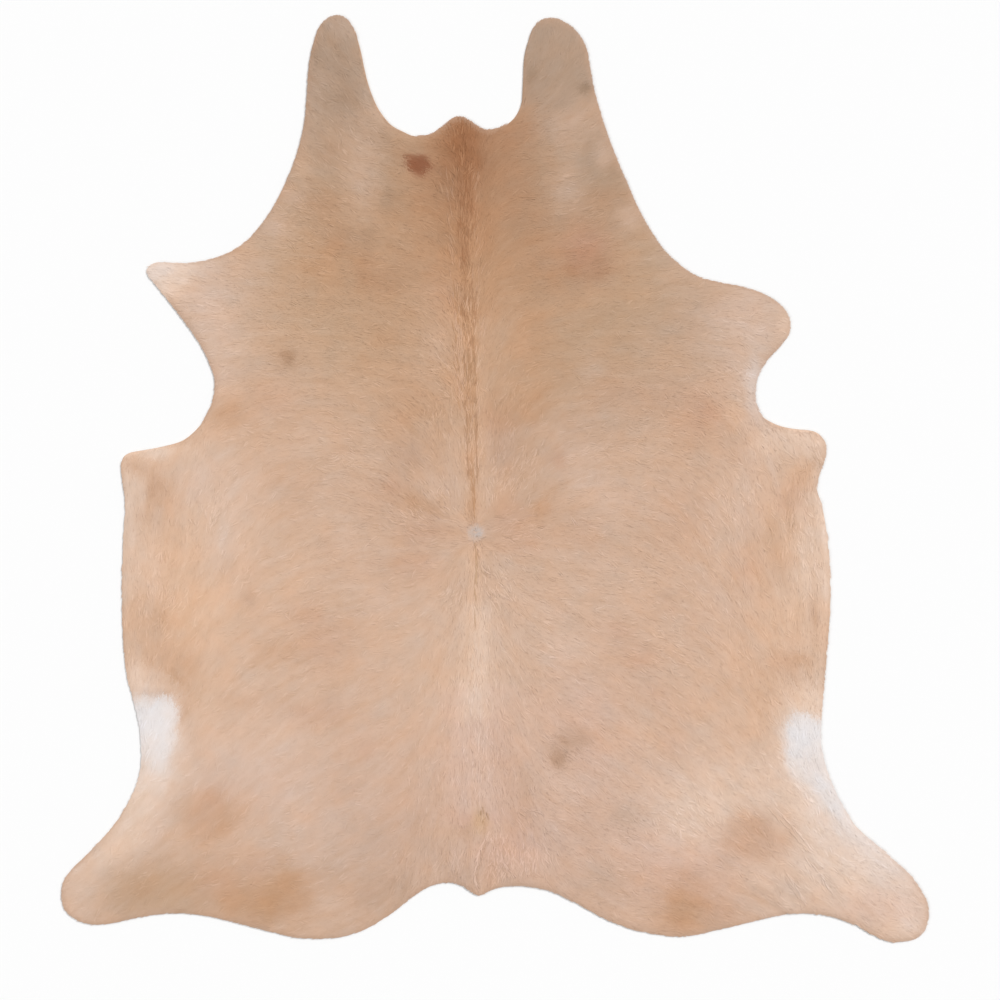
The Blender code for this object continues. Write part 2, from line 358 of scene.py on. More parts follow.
# The marks of the coat, in the order in which they lie over each other, in centimetres: the middle, out from
# the backbone and up from the tail's end, the half sizes across and along, the turn in degrees, the colour,
# its strength, and how sharp the border is.
MARKS = (
    # out, up, across, along, turn, colour, strength, sharpness
    # neck and lobes
    (0, 153, 58, 37, 0, "clay", 0.90, 4.0),
    (-34, 204, 13, 20, 0, "smoke", 1.00, 3.5),
    (19, 203, 13, 17, 0, "smoke", 1.00, 3.5),
    (-32, 209, 4, 2.5, 0, "silver", 0.30, 1.5),
    (-37, 196, 2.5, 3, 0, "silver", 0.15, 1.5),
    (-38, 202, 2, 3, 0, "soot", 0.20, 1.5),
    (-33.5, 191, 2.5, 1.8, 0, "soot", 0.40, 1.5),
    (-29.5, 190, 1.5, 1.2, 0, "soot", 0.35, 2.0),
    (-27, 183, 6, 4, 0, "smoke", 0.35, 1.5),
    (-27, 173, 4.5, 10, -3, "silver", 0.45, 1.5),
    (-34, 179, 2.2, 2.5, 0, "oak", 0.35, 1.5),
    (-20, 179, 4, 6, 0, "soot", 0.38, 1.5),
    (-41, 175, 2.5, 3, 0, "peach", 0.40, 1.5),
    (-44, 168, 3, 2.5, 0, "silver", 0.35, 1.5),
    (-48.5, 161, 3, 2.5, -35, "silver", 0.50, 1.5),
    (-37, 166, 4.5, 4.5, 0, "oak", 0.45, 1.5),
    (-33, 157, 4, 4, 20, "oak", 0.50, 1.5),
    (-26.5, 157.5, 2, 2, 0, "soot", 0.45, 1.5),
    (-26.5, 151, 3, 4, 0, "oak", 0.60, 1.5),
    (-22, 147, 4, 3, 0, "oak", 0.45, 1.5),
    (-37, 149, 6, 5, 0, "tan", 0.40, 1.5),
    (-21, 167, 2.5, 3, 0, "soot", 0.45, 1.5),
    (-18, 152, 6, 6, 0, "oak", 0.25, 1.5),
    (-3, 168, 13, 19, 0, "oak", 0.85, 2.0),
    (-1, 150, 9, 16, 0, "tan", 0.80, 1.5),
    (-1, 136, 7, 12, 0, "tan", 0.40, 1.5),
    (10.5, 170, 6, 10, 0, "oak", 0.62, 1.5),
    (7, 179, 5, 5, 0, "oak", 0.70, 1.5),
    (14, 158, 6, 8, 0, "oak", 0.40, 1.5),
    (18, 148, 6, 5, 0, "oak", 0.40, 1.5),
    (-8, 181, 3.5, 5, 0, "oak", 0.80, 1.5),
    (-2.5, 180.5, 3.8, 6.5, 0, "bark", 0.95, 2.0),
    (-2.0, 171, 4.5, 7, 0, "bark", 0.45, 1.5),
    (-6.5, 173.5, 2.4, 4, 0, "oak", 0.80, 1.5),
    (1.5, 177, 2.2, 2.5, 0, "bark", 0.75, 1.5),
    (-6.8, 174.8, 2.2, 3.4, 0, "bark", 0.42, 1.5),
    (-12, 169, 3, 4, 0, "oak", 0.35, 1.5),
    (-6, 145, 6, 5, 0, "sand", 0.40, 1.5),
    (-8, 130, 5, 9, 0, "fawn", 0.20, 1.5),
    (21, 172, 9, 14, 0, "soot", 0.22, 1.5),
    (30, 178, 6, 8, 0, "soot", 0.52, 1.5),
    (32, 163, 9, 7, 0, "soot", 0.30, 1.5),
    (10, 174, 5, 10, 0, "soot", 0.22, 1.5),
    (20, 196, 9, 12, 0, "soot", 0.26, 1.5),
    (-31, 199, 8, 13, 0, "soot", 0.30, 1.5),
    (-38, 178, 4, 8, 0, "soot", 0.28, 1.5),
    (5, 184, 8, 3, 0, "bark", 0.35, 1.5),
    (10, 184, 5, 4, 0, "oak", 0.30, 1.5),
    (-15.2, 176.4, 1.7, 1.6, 0, "chestnut", 0.80, 3.0),
    (-13.2, 176.0, 1.7, 1.7, 0, "chestnut", 0.80, 3.0),
    (-13.6, 174.8, 2.4, 1.6, -8, "chestnut", 0.90, 3.0),
    (27, 155.5, 5, 5.5, 20, "rust", 0.75, 1.5),
    (23, 151, 3, 3, 0, "bark", 0.28, 1.5),
    (30.5, 150.5, 3, 2.5, 0, "bark", 0.30, 1.5),
    (32, 168, 3.5, 2.5, 0, "oak", 0.45, 1.5),
    (37, 163, 3, 3, 0, "silver", 0.45, 1.5),
    (31, 178.5, 2.5, 2.5, 0, "silver", 0.40, 1.5),
    (34, 174, 2, 2, 0, "soot", 0.25, 1.5),
    (23, 171, 4, 6, 0, "silver", 0.35, 1.5),
    (24, 185, 6, 4, 20, "silver", 0.35, 1.5),
    (28, 179, 2, 3, 0, "soot", 0.25, 1.5),
    (27, 194, 1.8, 1.7, 0, "soot", 0.90, 2.5),
    (13.5, 198, 1.8, 2.2, 0, "soot", 0.50, 2.0),
    (13, 186, 3, 3, 0, "oak", 0.15, 1.5),
    # fore shanks and shoulders
    (42, 124, 30, 17, 0, "soot", 0.15, 2.0),
    (64, 139, 14, 8, 0, "soot", 0.46, 1.5),
    (66, 110, 13, 6, 0, "tan", 0.46, 1.5),
    (50, 152, 6, 8, 0, "ash", 0.15, 1.5),
    (-68, 146, 6, 7, 0, "ash", 0.28, 1.5),
    (-74, 149.5, 8, 6, 20, "cream", 1.00, 2.5),
    (-76, 150.5, 4, 3, 20, "white", 0.35, 1.5),
    (-66, 142, 5, 8, -30, "silver", 0.75, 1.5),
    (-62, 131, 4.5, 11, 0, "silver", 0.65, 2.0),
    (-55, 150, 4, 4, 0, "silver", 0.25, 1.5),
    (65, 138, 11, 8, 0, "silver", 0.75, 2.0),
    (75, 137, 1.8, 5, 0, "cream", 0.55, 1.5),
    (68, 121, 3.0, 8, 0, "white", 0.62, 2.0),
    (62, 126, 4, 5, 0, "silver", 0.45, 1.5),
    (-44.8, 129.2, 1.8, 1.6, 0, "soot", 0.45, 1.8),
    (-44.8, 129.2, 1.7, 1.5, 0, "oak", 0.45, 1.8),
    (-46, 129, 4, 3, 0, "soot", 0.12, 1.5),
    (-21, 132, 4, 10, 0, "tan", 0.28, 1.5),
    (-14.5, 118, 7, 7, 0, "tan", 0.45, 1.5),
    (-4, 124, 4, 7, 0, "tan", 0.55, 1.5),
    (-9, 133, 3, 6, 0, "fawn", 0.35, 1.5),
    (-59, 116, 5, 3.2, 0, "tan", 0.45, 1.5),
    (-48, 118.5, 6, 4, 0, "sand", 0.40, 1.5),
    (13.5, 134, 4, 10, 0, "tan", 0.50, 1.5),
    (10.5, 115.5, 6, 4, 0, "tan", 0.65, 1.6),
    (4, 113, 3, 3, 0, "rust", 0.25, 1.5),
    (15, 121, 4, 3, 0, "tan", 0.40, 1.5),
    (28, 126, 3, 4, 0, "silver", 0.22, 1.5),
    (34, 121, 5, 3, 0, "umber", 0.45, 1.5),
    (45, 119, 6, 3, 0, "umber", 0.35, 1.5),
    (54, 117, 6, 4, 0, "sand", 0.60, 1.5),
    (57, 115.5, 3, 3, 0, "rust", 0.45, 1.5),
    (63, 115, 4, 4, 0, "peach", 0.55, 1.5),
    (62, 107, 5, 4, 0, "umber", 0.40, 1.5),
    (-12, 126, 13, 9, 0, "fawn", 0.28, 1.5),
    (9, 134, 7, 9, 0, "fawn", 0.20, 1.5),
    (-4.6, 137, 1.8, 9, 0, "tan", 0.25, 1.5),
    (14, 168, 8, 7, 0, "oak", 0.10, 1.5),
    (0, 104, 4, 9, 0, "fawn", 0.20, 1.5),
    (-62, 112, 6, 5, 0, "tan", 0.12, 1.5),
    (28, 112, 12, 6, 0, "sand", 0.14, 1.5),
    # back and flanks
    (24, 111, 9, 5, 0, "soot", 0.08, 1.5),
    (10, 91, 5, 4, 0, "soot", 0.08, 1.5),
    (8, 62, 12, 18, 0, "cream", 0.14, 1.5),
    (37, 50, 12, 7, 0, "soot", 0.06, 1.5),
    (-38, 47, 10, 8, 0, "soot", 0.07, 1.5),
    (71, 42, 6, 8, 0, "tan", 0.28, 1.5),
    (80, 50, 4, 4, 0, "tan", 0.14, 1.5),
    (80, 75, 8, 16, 0, "cream", 0.15, 1.5),
    (20, 38, 12, 12, 0, "cream", 0.10, 1.5),
    (-20, 71, 6, 6, 0, "soot", 0.08, 1.5),
    (-10, 84, 5, 7, 0, "soot", 0.06, 1.5),
    (60, 78, 8, 10, 0, "cream", 0.07, 1.5),
    (18, 98, 11, 15, 0, "soot", 0.19, 1.5),
    (40, 82, 10, 8, 0, "soot", 0.08, 1.5),
    (7, 109, 4, 7, 0, "rust", 0.20, 1.5),
    (-45, 98, 10, 8, 0, "oak", 0.18, 1.5),
    (-71, 97, 9, 8, 0, "cream", 0.32, 1.5),
    (66, 94, 8, 10, 0, "cream", 0.28, 1.5),
    (70, 110, 6, 5, 0, "sand", 0.25, 1.5),
    (62, 66, 12, 14, 0, "rose", 0.14, 1.5),
    (-73, 82, 15, 28, 0, "peach", 0.38, 2.0),
    (73, 82, 14, 32, 0, "peach", 0.38, 2.0),
    (58, 50, 17, 15, 0, "peach", 0.30, 1.5),
    (-58, 62, 16, 18, 0, "peach", 0.18, 1.5),
    (-16, 106, 4, 3.5, 0, "umber", 0.55, 1.5),
    (-19.5, 98, 3, 3, 0, "rust", 0.30, 1.5),
    (-13.5, 94.5, 5, 2.2, -15, "tan", 0.60, 1.5),
    (-12.5, 88, 6, 3, 0, "sand", 0.70, 1.5),
    (-15, 79, 6, 4, 0, "sand", 0.60, 1.5),
    (-8, 98, 4, 3, 0, "silver", 0.40, 1.5),
    (-32, 86, 3, 4, 0, "silver", 0.40, 1.5),
    (-36.5, 84, 3, 3, 0, "umber", 0.22, 1.5),
    (-25, 93, 4, 4, 0, "umber", 0.25, 1.5),
    (-58, 101, 6, 5, 0, "silver", 0.40, 1.5),
    (-67, 98, 5, 5, -20, "silver", 0.85, 1.5),
    (-60, 85, 5, 9, 0, "silver", 0.60, 1.5),
    (-78, 106.2, 8, 1.5, 3, "cream", 0.75, 2.0),
    (-80, 101, 4, 1.8, -25, "tan", 0.55, 1.5),
    (-77.5, 97, 2.2, 2.0, 0, "oak", 0.70, 1.8),
    (-74.5, 94.5, 2.5, 3, 20, "tan", 0.35, 1.5),
    (-79, 91, 3, 3, 0, "umber", 0.45, 1.5),
    (-73, 86, 3, 4, 15, "tan", 0.35, 1.5),
    (-80, 81, 3, 8, 0, "silver", 0.45, 1.5),
    (-71.5, 79, 5, 10, 10, "peach", 0.70, 1.5),
    (-70, 66, 5, 6, 0, "peach", 0.80, 1.5),
    (-77, 66, 3.5, 4, 0, "tan", 0.38, 1.5),
    (-77, 58.5, 5.5, 3.8, -15, "tan", 0.45, 1.5),
    (-70.5, 54.5, 4.5, 3.5, -35, "tan", 0.34, 1.5),
    (-64, 68, 5, 8, 0, "peach", 0.50, 1.5),
    (-65, 46, 4, 5, 0, "peach", 0.60, 1.5),
    (-47, 58.5, 5, 3, 0, "tan", 0.35, 1.5),
    (-37, 60, 6, 4, 0, "sand", 0.50, 1.5),
    (-40, 67.5, 4, 3, 0, "sand", 0.50, 1.5),
    (-33, 63, 4, 3, 0, "sand", 0.30, 1.5),
    (-54, 71, 1.6, 1.5, 0, "umber", 0.45, 1.5),
    (-24.5, 72, 3, 3, 0, "silver", 0.35, 1.5),
    (-15, 66, 5, 6, 0, "silver", 0.25, 1.5),
    (-26, 52, 4, 6, 0, "silver", 0.15, 1.5),
    (26, 102.5, 5.5, 7, 20, "silver", 0.48, 1.5),
    (20, 113, 10, 1.6, 12, "silver", 0.20, 1.5),
    (34, 94, 5, 5, 0, "silver", 0.25, 1.5),
    (15.5, 93, 3.5, 2.5, 15, "tan", 0.55, 1.5),
    (8.5, 90.5, 4, 5, 0, "sand", 0.70, 1.5),
    (13, 84.5, 4, 3, 0, "sand", 0.50, 1.5),
    (6.5, 107, 3, 3, 0, "umber", 0.50, 1.5),
    (20.5, 105, 1.8, 1.8, 0, "rust", 0.30, 1.5),
    (26, 87, 6, 5, 0, "sand", 0.35, 1.5),
    (50, 90, 9, 8, 0, "sand", 0.35, 1.5),
    (33, 79, 4, 3, 0, "silver", 0.35, 1.5),
    (64, 90, 4, 7, 0, "silver", 0.65, 1.5),
    (70, 102, 6, 5, 0, "silver", 0.55, 1.5),
    (76, 109, 9, 4, 0, "cream", 0.65, 2.0),
    (81.5, 103, 3, 1.5, 15, "tan", 0.60, 1.5),
    (77, 101, 3, 3, 0, "peach", 0.60, 1.5),
    (79.3, 99.5, 2.4, 2.2, 0, "tan", 0.50, 1.5),
    (75.2, 94, 3, 4, -25, "rust", 0.50, 1.5),
    (72, 86, 3.5, 4, 0, "tan", 0.42, 1.5),
    (73.5, 78, 3, 5, 0, "tan", 0.32, 1.5),
    (65.5, 78, 3, 5, 0, "rust", 0.20, 1.5),
    (79.5, 80, 2.5, 9, 0, "cream", 0.50, 1.5),
    (84.5, 84, 1.5, 17, 2, "cream", 0.70, 2.0),
    (-84.3, 84, 1.0, 18, 0, "cream", 0.60, 1.5),
    (-80, 75, 4, 14, 0, "cream", 0.28, 1.5),
    (80.5, 73, 5, 14, 0, "cream", 0.28, 1.5),
    (76, 66, 5, 6, 0, "peach", 0.70, 1.5),
    (81, 66.5, 1.2, 3, 0, "umber", 0.50, 1.5),
    (73.5, 54.5, 3.5, 3, 0, "rust", 0.25, 1.5),
    (77.7, 55.7, 2, 2, 0, "tan", 0.55, 1.5),
    (70, 46, 4, 9, -5, "peach", 0.70, 1.5),
    (70, 47, 2.5, 8, -5, "tan", 0.25, 1.5),
    (35, 63, 2.5, 2.5, 0, "rust", 0.25, 1.5),
    (40, 57, 4, 3, 0, "sand", 0.60, 1.5),
    (44, 48, 4, 2.2, -40, "sand", 0.40, 1.5),
    (48, 36, 3, 2.2, -40, "sand", 0.40, 1.5),
    (46, 71.5, 1.6, 1.5, 0, "umber", 0.30, 1.5),
    (21, 60, 5, 4, 0, "silver", 0.40, 1.5),
    (-42, 43, 4.5, 2.5, 0, "sand", 0.55, 1.5),
    (-34.5, 44, 3, 2.5, 0, "sand", 0.50, 1.5),
    (-26, 35, 2.5, 2, 0, "sand", 0.50, 1.5),
    (-57, 46.5, 6, 1.8, 0, "tan", 0.22, 1.5),
    (-81.5, 97, 3, 4.5, 0, "cream", 0.50, 1.5),
    (-83, 87, 1.6, 7, 0, "cream", 0.32, 1.5),
    (-80.5, 68, 3, 5, 0, "tan", 0.20, 1.5),
    (-62, 90, 5, 6, 0, "cream", 0.18, 1.5),
    (82.6, 92, 2.4, 11, 0, "cream", 0.50, 1.5),
    (73.8, 92, 4.5, 8, -15, "peach", 0.36, 1.5),
    # rump, hind shanks and tail
    (-33, 20, 14, 12, 0, "ash", 0.14, 1.5),
    (32, 22, 14, 11, 0, "ash", 0.14, 1.5),
    (-33, 26.5, 3, 2.5, 0, "smoke", 0.35, 1.5),
    (-23, 15.5, 3, 2.5, 0, "smoke", 0.20, 1.5),
    (-14, 14, 6, 8, 0, "umber", 0.28, 1.5),
    (-33, 9, 16, 14, 0, "soot", 0.30, 1.5),
    # The next mark darkens the coat at the lower edge between the left hind shank and the tail, as painted
    # shade of the edge.
    (-20, 1, 5, 4, 0, "soot", 0.22, 1.5),
    (30, 1, 7, 6, 0, "soot", 0.12, 1.5),
    (75, -1, 9, 6, 0, "soot", 0.09, 1.5),
    (-76, 1, 24, 9, 0, "soot", 0.36, 2.0),
    (-55, 27, 10, 8, 0, "rose", 0.45, 1.5),
    (-54, 27, 11, 10, 0, "cream", 0.22, 1.5),
    (52, 8, 15, 11, 0, "rose", 0.55, 1.5),
    (25, 38, 9, 14, 0, "rose", 0.35, 1.5),
    (72, 20, 10, 7, 0, "cream", 0.40, 1.5),
    (-25, 20, 20, 22, 0, "rose", 0.16, 1.5),
    (30, 25, 30, 25, 0, "rose", 0.12, 1.5),
    (-56, 30, 8, 9, 0, "silver", 0.65, 1.5),
    (-46, 37, 6, 4, 0, "silver", 0.60, 1.5),
    (-42, 15, 12, 9, 0, "silver", 0.50, 1.5),
    (-70, 29, 5, 6, 0, "silver", 0.55, 1.5),
    (-76, 19, 5, 9, -25, "silver", 0.75, 1.5),
    (-95, 3, 6, 9, -35, "silver", 0.80, 1.5),
    (-86, 13, 4, 11, -43, "cream", 0.60, 1.5),
    (-82, 50, 4, 5, 0, "cream", 0.75, 1.5),
    (-78.6, 36.5, 7.4, 12.5, 5, "cream", 0.88, 2.5),
    (-79.0, 38.6, 6.2, 8.3, 4, "white", 1.00, 4.5),
    (-75.4, 43.2, 3.4, 4.2, 0, "white", 0.95, 4.5),
    (-79.4, 30.5, 4.2, 6.0, -10, "white", 0.75, 2.5),
    (-80.5, 25, 3.6, 7, -14, "cream", 0.85, 2.0),
    # The next two thin tan lines are painted shade along the folds above the left white patch.
    (-76.5, 48.3, 5.4, 0.7, 0, "tan", 0.26, 1.5),
    (-71.8, 51.8, 3.6, 0.9, -42, "tan", 0.40, 1.5),
    (-70.2, 43.5, 1.2, 2.6, 0, "tan", 0.32, 1.5),
    (-64, 19, 7, 5, 0, "clay", 0.55, 1.8),
    (-64, 18.5, 6, 4.4, 0, "sand", 0.62, 1.8),
    (-62.5, 24, 4, 3.6, 0, "sand", 0.60, 1.6),
    (-60, 16, 2.4, 2.2, 0, "tan", 0.22, 1.6),
    (-76, 1, 13, 5, 0, "clay", 0.60, 1.8),
    (-80, 1, 4.5, 3, 0, "oak", 0.15, 1.5),
    (-62, 3, 5, 5, 0, "sand", 0.60, 1.5),
    (-58, -2, 5, 3, 0, "tan", 0.50, 1.5),
    (-49.5, -2, 4.8, 4.8, 0, "tan", 0.80, 1.5),
    (-45, 3.5, 3.4, 4, 20, "tan", 0.60, 1.5),
    (-52.5, 7, 3, 3, 0, "sand", 0.60, 1.5),
    (-42, -1, 3, 3, 0, "tan", 0.35, 1.5),
    (-35, -2, 4, 3, 0, "silver", 0.35, 1.5),
    (-26, -1, 3, 2.5, 0, "umber", 0.50, 1.5),
    (52, 19, 9, 9, 0, "cream", 0.58, 1.6),
    (64, 27, 11, 7, 0, "cream", 0.45, 1.5),
    (76, 4, 14, 12, 40, "cream", 0.45, 2.0),
    (85, 9, 8, 13, 42, "cream", 0.45, 2.0),
    (81.5, 46, 4.0, 3.5, 0, "cream", 0.50, 1.5),
    (81.2, 37, 8.0, 11, 5, "cream", 0.95, 2.5),
    (81.2, 36.4, 6.2, 5.4, 0, "white", 1.00, 4.5),
    (78.8, 39.2, 3.8, 4.0, 0, "white", 0.95, 4.5),
    (78.3, 34.4, 3.6, 4.0, 0, "white", 0.90, 4.5),
    (82.2, 30.6, 6.6, 5.8, 10, "white", 0.95, 4.0),
    (86, 19, 7.0, 11, 38, "cream", 1.00, 2.0),
    (85.5, 24, 3.6, 7, 38, "white", 0.75, 2.5),
    (95, 6, 7, 12, 45, "cream", 0.85, 2.0),
    (93, 14, 3.6, 13, 43, "white", 0.42, 2.0),
    (98, 9, 3.6, 7, 43, "white", 0.16, 1.5),
    (85, 11, 8, 8, 40, "white", 0.12, 1.5),
    (102, -5, 6, 5, 0, "cream", 0.85, 2.0),
    (104, -6, 3, 3, 0, "white", 0.20, 1.5),
    (98, -3, 8, 5, 0, "rose", 0.35, 1.5),
    (92, -6, 5, 2.5, -20, "silver", 0.50, 1.5),
    (68, 14, 7.6, 5.6, -8, "clay", 0.22, 2.2),
    (57, 18, 6, 6, 0, "cream", 0.22, 1.5),
    (67.4, 14, 7.6, 5.6, -8, "sand", 0.66, 2.4),
    (60, 9.0, 3.5, 2.6, 30, "sand", 0.24, 1.5),
    (50.5, -3.5, 6.2, 5.8, 0, "tan", 0.76, 1.6),
    (52, 4, 4, 3, 0, "sand", 0.60, 1.5),
    (60, -4, 4, 3, 0, "sand", 0.60, 1.5),
    (70, -1, 7, 4, 0, "umber", 0.22, 1.5),
    (37, 19, 4, 3, 0, "smoke", 0.30, 1.5),
    (31, 5, 4, 3, 0, "smoke", 0.28, 1.5),
    (27, 14, 4, 3, 0, "umber", 0.22, 1.5),
    (21, 28, 4, 4, 0, "silver", 0.50, 1.5),
    (20.3, 33.4, 2.2, 2.4, 0, "umber", 0.95, 2.0),
    (20.8, 33.0, 1.4, 1.6, 0, "soot", 0.22, 1.8),
    (21.6, 36.5, 1.8, 2.8, -20, "umber", 0.65, 1.6),
    (25.0, 37, 2.8, 1.8, 12, "umber", 0.62, 1.8),
    (10, 20, 4, 9, 0, "umber", 0.52, 1.5),
    (7, 33, 2, 6, 0, "umber", 0.35, 1.5),
    (-8, 44, 4, 8, 0, "peach", 0.35, 1.5),
    (2.2, 19.5, 1.0, 1.9, 0, "tan", 0.55, 1.8),
    (-2.6, 16.7, 1.3, 2.2, 0, "oak", 0.48, 1.5),
    (-4, 6, 3, 2.5, 0, "umber", 0.40, 1.5),
    (4, 5, 2.5, 2, 0, "rust", 0.15, 1.5),
    (9, 11, 9, 6, 0, "rose", 0.50, 1.5),
)

# Coloured lines along the backbone, in centimetres: the heights between which a line runs, its half width at
# the top and at the bottom, the colour, its strength and how sharp its border is.
STRIPES = (
    # from, to, half width at top, half width at bottom, colour, strength, sharpness
    (140, 90, 4.5, 3.5, "peach", 0.40, 1.5),
    (187, 150, 2.2, 1.6, "bark", 0.34, 1.5),
    (152, 112, 2.8, 1.8, "tan", 0.36, 1.5),
    (141, 90, 1.7, 1.0, "tan", 0.44, 1.5),
    (84, 60, 1.8, 2.4, "peach", 0.45, 1.5),
    (50, 17, 6.5, 6.5, "rose", 0.70, 1.5),
    (52, 20, 5.0, 5.0, "silver", 0.45, 1.5),
    (60, 14, 8.0, 9.0, "peach", 0.15, 1.5),
    (70, 42, 2.0, 4.6, "cream", 0.52, 1.5),
    (21.0, 15.5, 1.5, 2.2, "olive", 0.70, 2.0),
)

# Streaks along the hair, all over the coat: for lighter and darker ones, and for warmer and cooler ones, how
# much they swing, their width in millimetres, and a seed. The casts say how far red, green and blue follow.
STREAKS = {
    "streak_light": ((0.028, 6.0, 16), (0.036, 13.0, 18)),
    "streak_warm": ((0.016, 26.0, 17),),
}
STREAK_CASTS = {
    "streak_light": (0.6, 1.0, 1.5),
    "streak_warm": (1.0, 0.1, -1.0),
}
CALM_OF_WHITE = 0.7

# A mark's border wanders out and up by a coarse and a fine ripple: how far in centimetres, the ripple's size,
# and a seed for each of the two ways.
BORDER_RIPPLES = ((0.9, 4 * CENTIMETRE, 11, 13), (0.4, 1.5 * CENTIMETRE, 12, 14))
LEAST_DYE = 0.003
STRIPE_FADE = 4
WHORL_SPOT = (0.2, 87.2)
WHORL_REACH = 1.05
WHORL_STRENGTH = 0.60
WHORL_SHARPNESS = 3
# How far in from the cut edge, and how strongly, the coat is darkened with umber as painted shade.
PAINTED_EDGE_SHADE_REACH = 5 * MILLIMETRE
PAINTED_EDGE_SHADE_STRENGTH = 0.50
PALENESS_OF_CREAM = 0.8


def dye_shares(x, y):
    """How much of each dye the coat has at each place, from its marks, with soft uneven borders, and umber at
    the cut edge as painted shade.
    """
    out, up = out_up(x, y)
    for swing, size, seed_out, seed_up in BORDER_RIPPLES:
        out = out + swing * ripple(x, y, size, seed_out)
        up = up + swing * ripple(x, y, size, seed_up)
    shares = np.zeros((len(x), len(DYES)), dtype=np.float32)

    def lay(weight, dye):
        touched = np.nonzero(weight > LEAST_DYE)[0]
        weight = weight[touched]
        shares[touched] *= (1 - weight)[:, None]
        if dye in DYES:
            shares[touched, DYES.index(dye)] += weight

    for middle_out, middle_up, across, along, turn, dye, strength, sharpness in MARKS:
        cosine, sine = math.cos(math.radians(turn)), math.sin(math.radians(turn))
        aside = ((out - middle_out) * cosine + (up - middle_up) * sine) / across
        ahead = ((up - middle_up) * cosine - (out - middle_out) * sine) / along
        lay(strength / (1 + (aside ** 2 + ahead ** 2) ** sharpness), dye)
    far = distance_to_path(out, up, BACKBONE)[0]
    for top, bottom, half_top, half_bottom, dye, strength, sharpness in STRIPES:
        share = np.clip((top - up) / (top - bottom), 0, 1)
        half = half_top + (half_bottom - half_top) * share
        ends = smooth_rise((top - up) / STRIPE_FADE + 0.5) * smooth_rise((up - bottom) / STRIPE_FADE + 0.5)
        lay(strength * ends / (1 + (far / half) ** (2 * sharpness)), dye)
    spot = np.hypot(out - WHORL_SPOT[0], up - WHORL_SPOT[1]) / WHORL_REACH
    lay(WHORL_STRENGTH / (1 + spot ** WHORL_SHARPNESS), "ash")
    # Umber laid over the last millimetres inside the outline is painted shade where the hair rolls down at
    # the cut edge. It is kept off the white and cream patches.
    rim = np.clip(edge_distance(x, y), 0, 1)
    pale = np.clip(shares[:, DYES.index("white")] + PALENESS_OF_CREAM * shares[:, DYES.index("cream")], 0, 1)
    lay(PAINTED_EDGE_SHADE_STRENGTH * (1 - pale) * np.exp(-(rim / PAINTED_EDGE_SHADE_REACH) ** 2), "umber")
    return shares


def light(colour):
    """A colour, given from 0 to 255, as the amount of light that it sends back."""
    steps = np.array(colour) / 255
    return tuple(np.where(steps <= 0.04045, steps / 12.92, ((steps + 0.055) / 1.055) ** 2.4)) + (1.0,)


def node(tree, kind, **values):
    """A new shader node; values go to its sockets or, for other names, to its own settings."""
    made = tree.nodes.new(kind)
    for name, value in values.items():
        spoken = name.replace("_", " ")
        if spoken in made.inputs:
            made.inputs[spoken].default_value = value
        else:
            setattr(made, name, value)
    return made


def group_with(name, inputs, outputs):
    """A new shader node group with its named sockets, as (kind, name, value) for the inputs."""
    tree = bpy.data.node_groups.new(name, "ShaderNodeTree")
    for kind, label, value in inputs:
        socket = tree.interface.new_socket(label, in_out="INPUT", socket_type=kind)
        socket.default_value = value
    for kind, label in outputs:
        tree.interface.new_socket(label, in_out="OUTPUT", socket_type=kind)
    return tree, tree.nodes.new("NodeGroupInput"), tree.nodes.new("NodeGroupOutput")


def fill(tree, socket, value):
    """Links a socket to another one, or gives it a plain value."""
    if isinstance(value, bpy.types.NodeSocket):
        tree.links.new(value, socket)
    else:
        socket.default_value = value


def mixed(tree, kind, share, first, second):
    """A colour mix; share, first and second are sockets or values."""
    mix = node(tree, "ShaderNodeMix", data_type="RGBA", blend_type=kind)
    # the sockets of its share and its two colours, among those for other kinds of values
    for place, value in ((0, share), (6, first), (7, second)):
        fill(tree, mix.inputs[place], value)
    return mix.outputs[2]


def maths(tree, operation, *terms):
    """One sum of numbers; each term is a socket or a value."""
    sums = node(tree, "ShaderNodeMath", operation=operation)
    for socket, value in zip(sums.inputs, terms):
        fill(tree, socket, value)
    return sums.outputs[0]


def vectors(tree, operation, *terms):
    """One sum of vectors or colours; each term is a socket or a value, and SCALE ends with a number."""
    sums = node(tree, "ShaderNodeVectorMath", operation=operation)
    sockets = (sums.inputs[0], sums.inputs["Scale"]) if operation == "SCALE" else sums.inputs
    for socket, value in zip(sockets, terms):
        fill(tree, socket, value)
    return sums.outputs[0]


def place_on(tree):
    """The place on the hide, in metres."""
    return node(tree, "ShaderNodeTexCoord").outputs["Object"]


def noise(tree, vector, scale, detail, roughness, output="Fac"):
    made = node(tree, "ShaderNodeTexNoise", Scale=scale, Detail=detail, Roughness=roughness)
    tree.links.new(vector, made.inputs["Vector"])
    return made.outputs[output]


def stored(tree, name, output="Fac"):
    """What the piece keeps for each face or corner under that name."""
    return node(tree, "ShaderNodeAttribute", attribute_name=name).outputs[output]


def swung(tree, colour, amount, cast):
    """The colour times one plus the amount, which each of red, green and blue follows as its cast says."""
    around_one = vectors(tree, "ADD", vectors(tree, "SCALE", cast, amount), (1.0, 1.0, 1.0))
    return vectors(tree, "MULTIPLY", colour, around_one)


# The coat's faint lighter and darker clouds: the noise's scale, detail and roughness, and its share. The
# warmer and cooler ones: the noise's scale, how far it is moved, and how much red, green and blue follow.
CLOUDING = 0.022
CLOUD_GAIN = 4.0
CLOUDS = ((16.0, 3.0, 0.55, 0.7), (60.0, 2.0, 0.5, 0.3))
WARM_CLOUDS = ((12.0, 3.0, (0.09, 0.0, -0.08)), (24.0, 7.0, (0.07, 0.0, -0.07)))


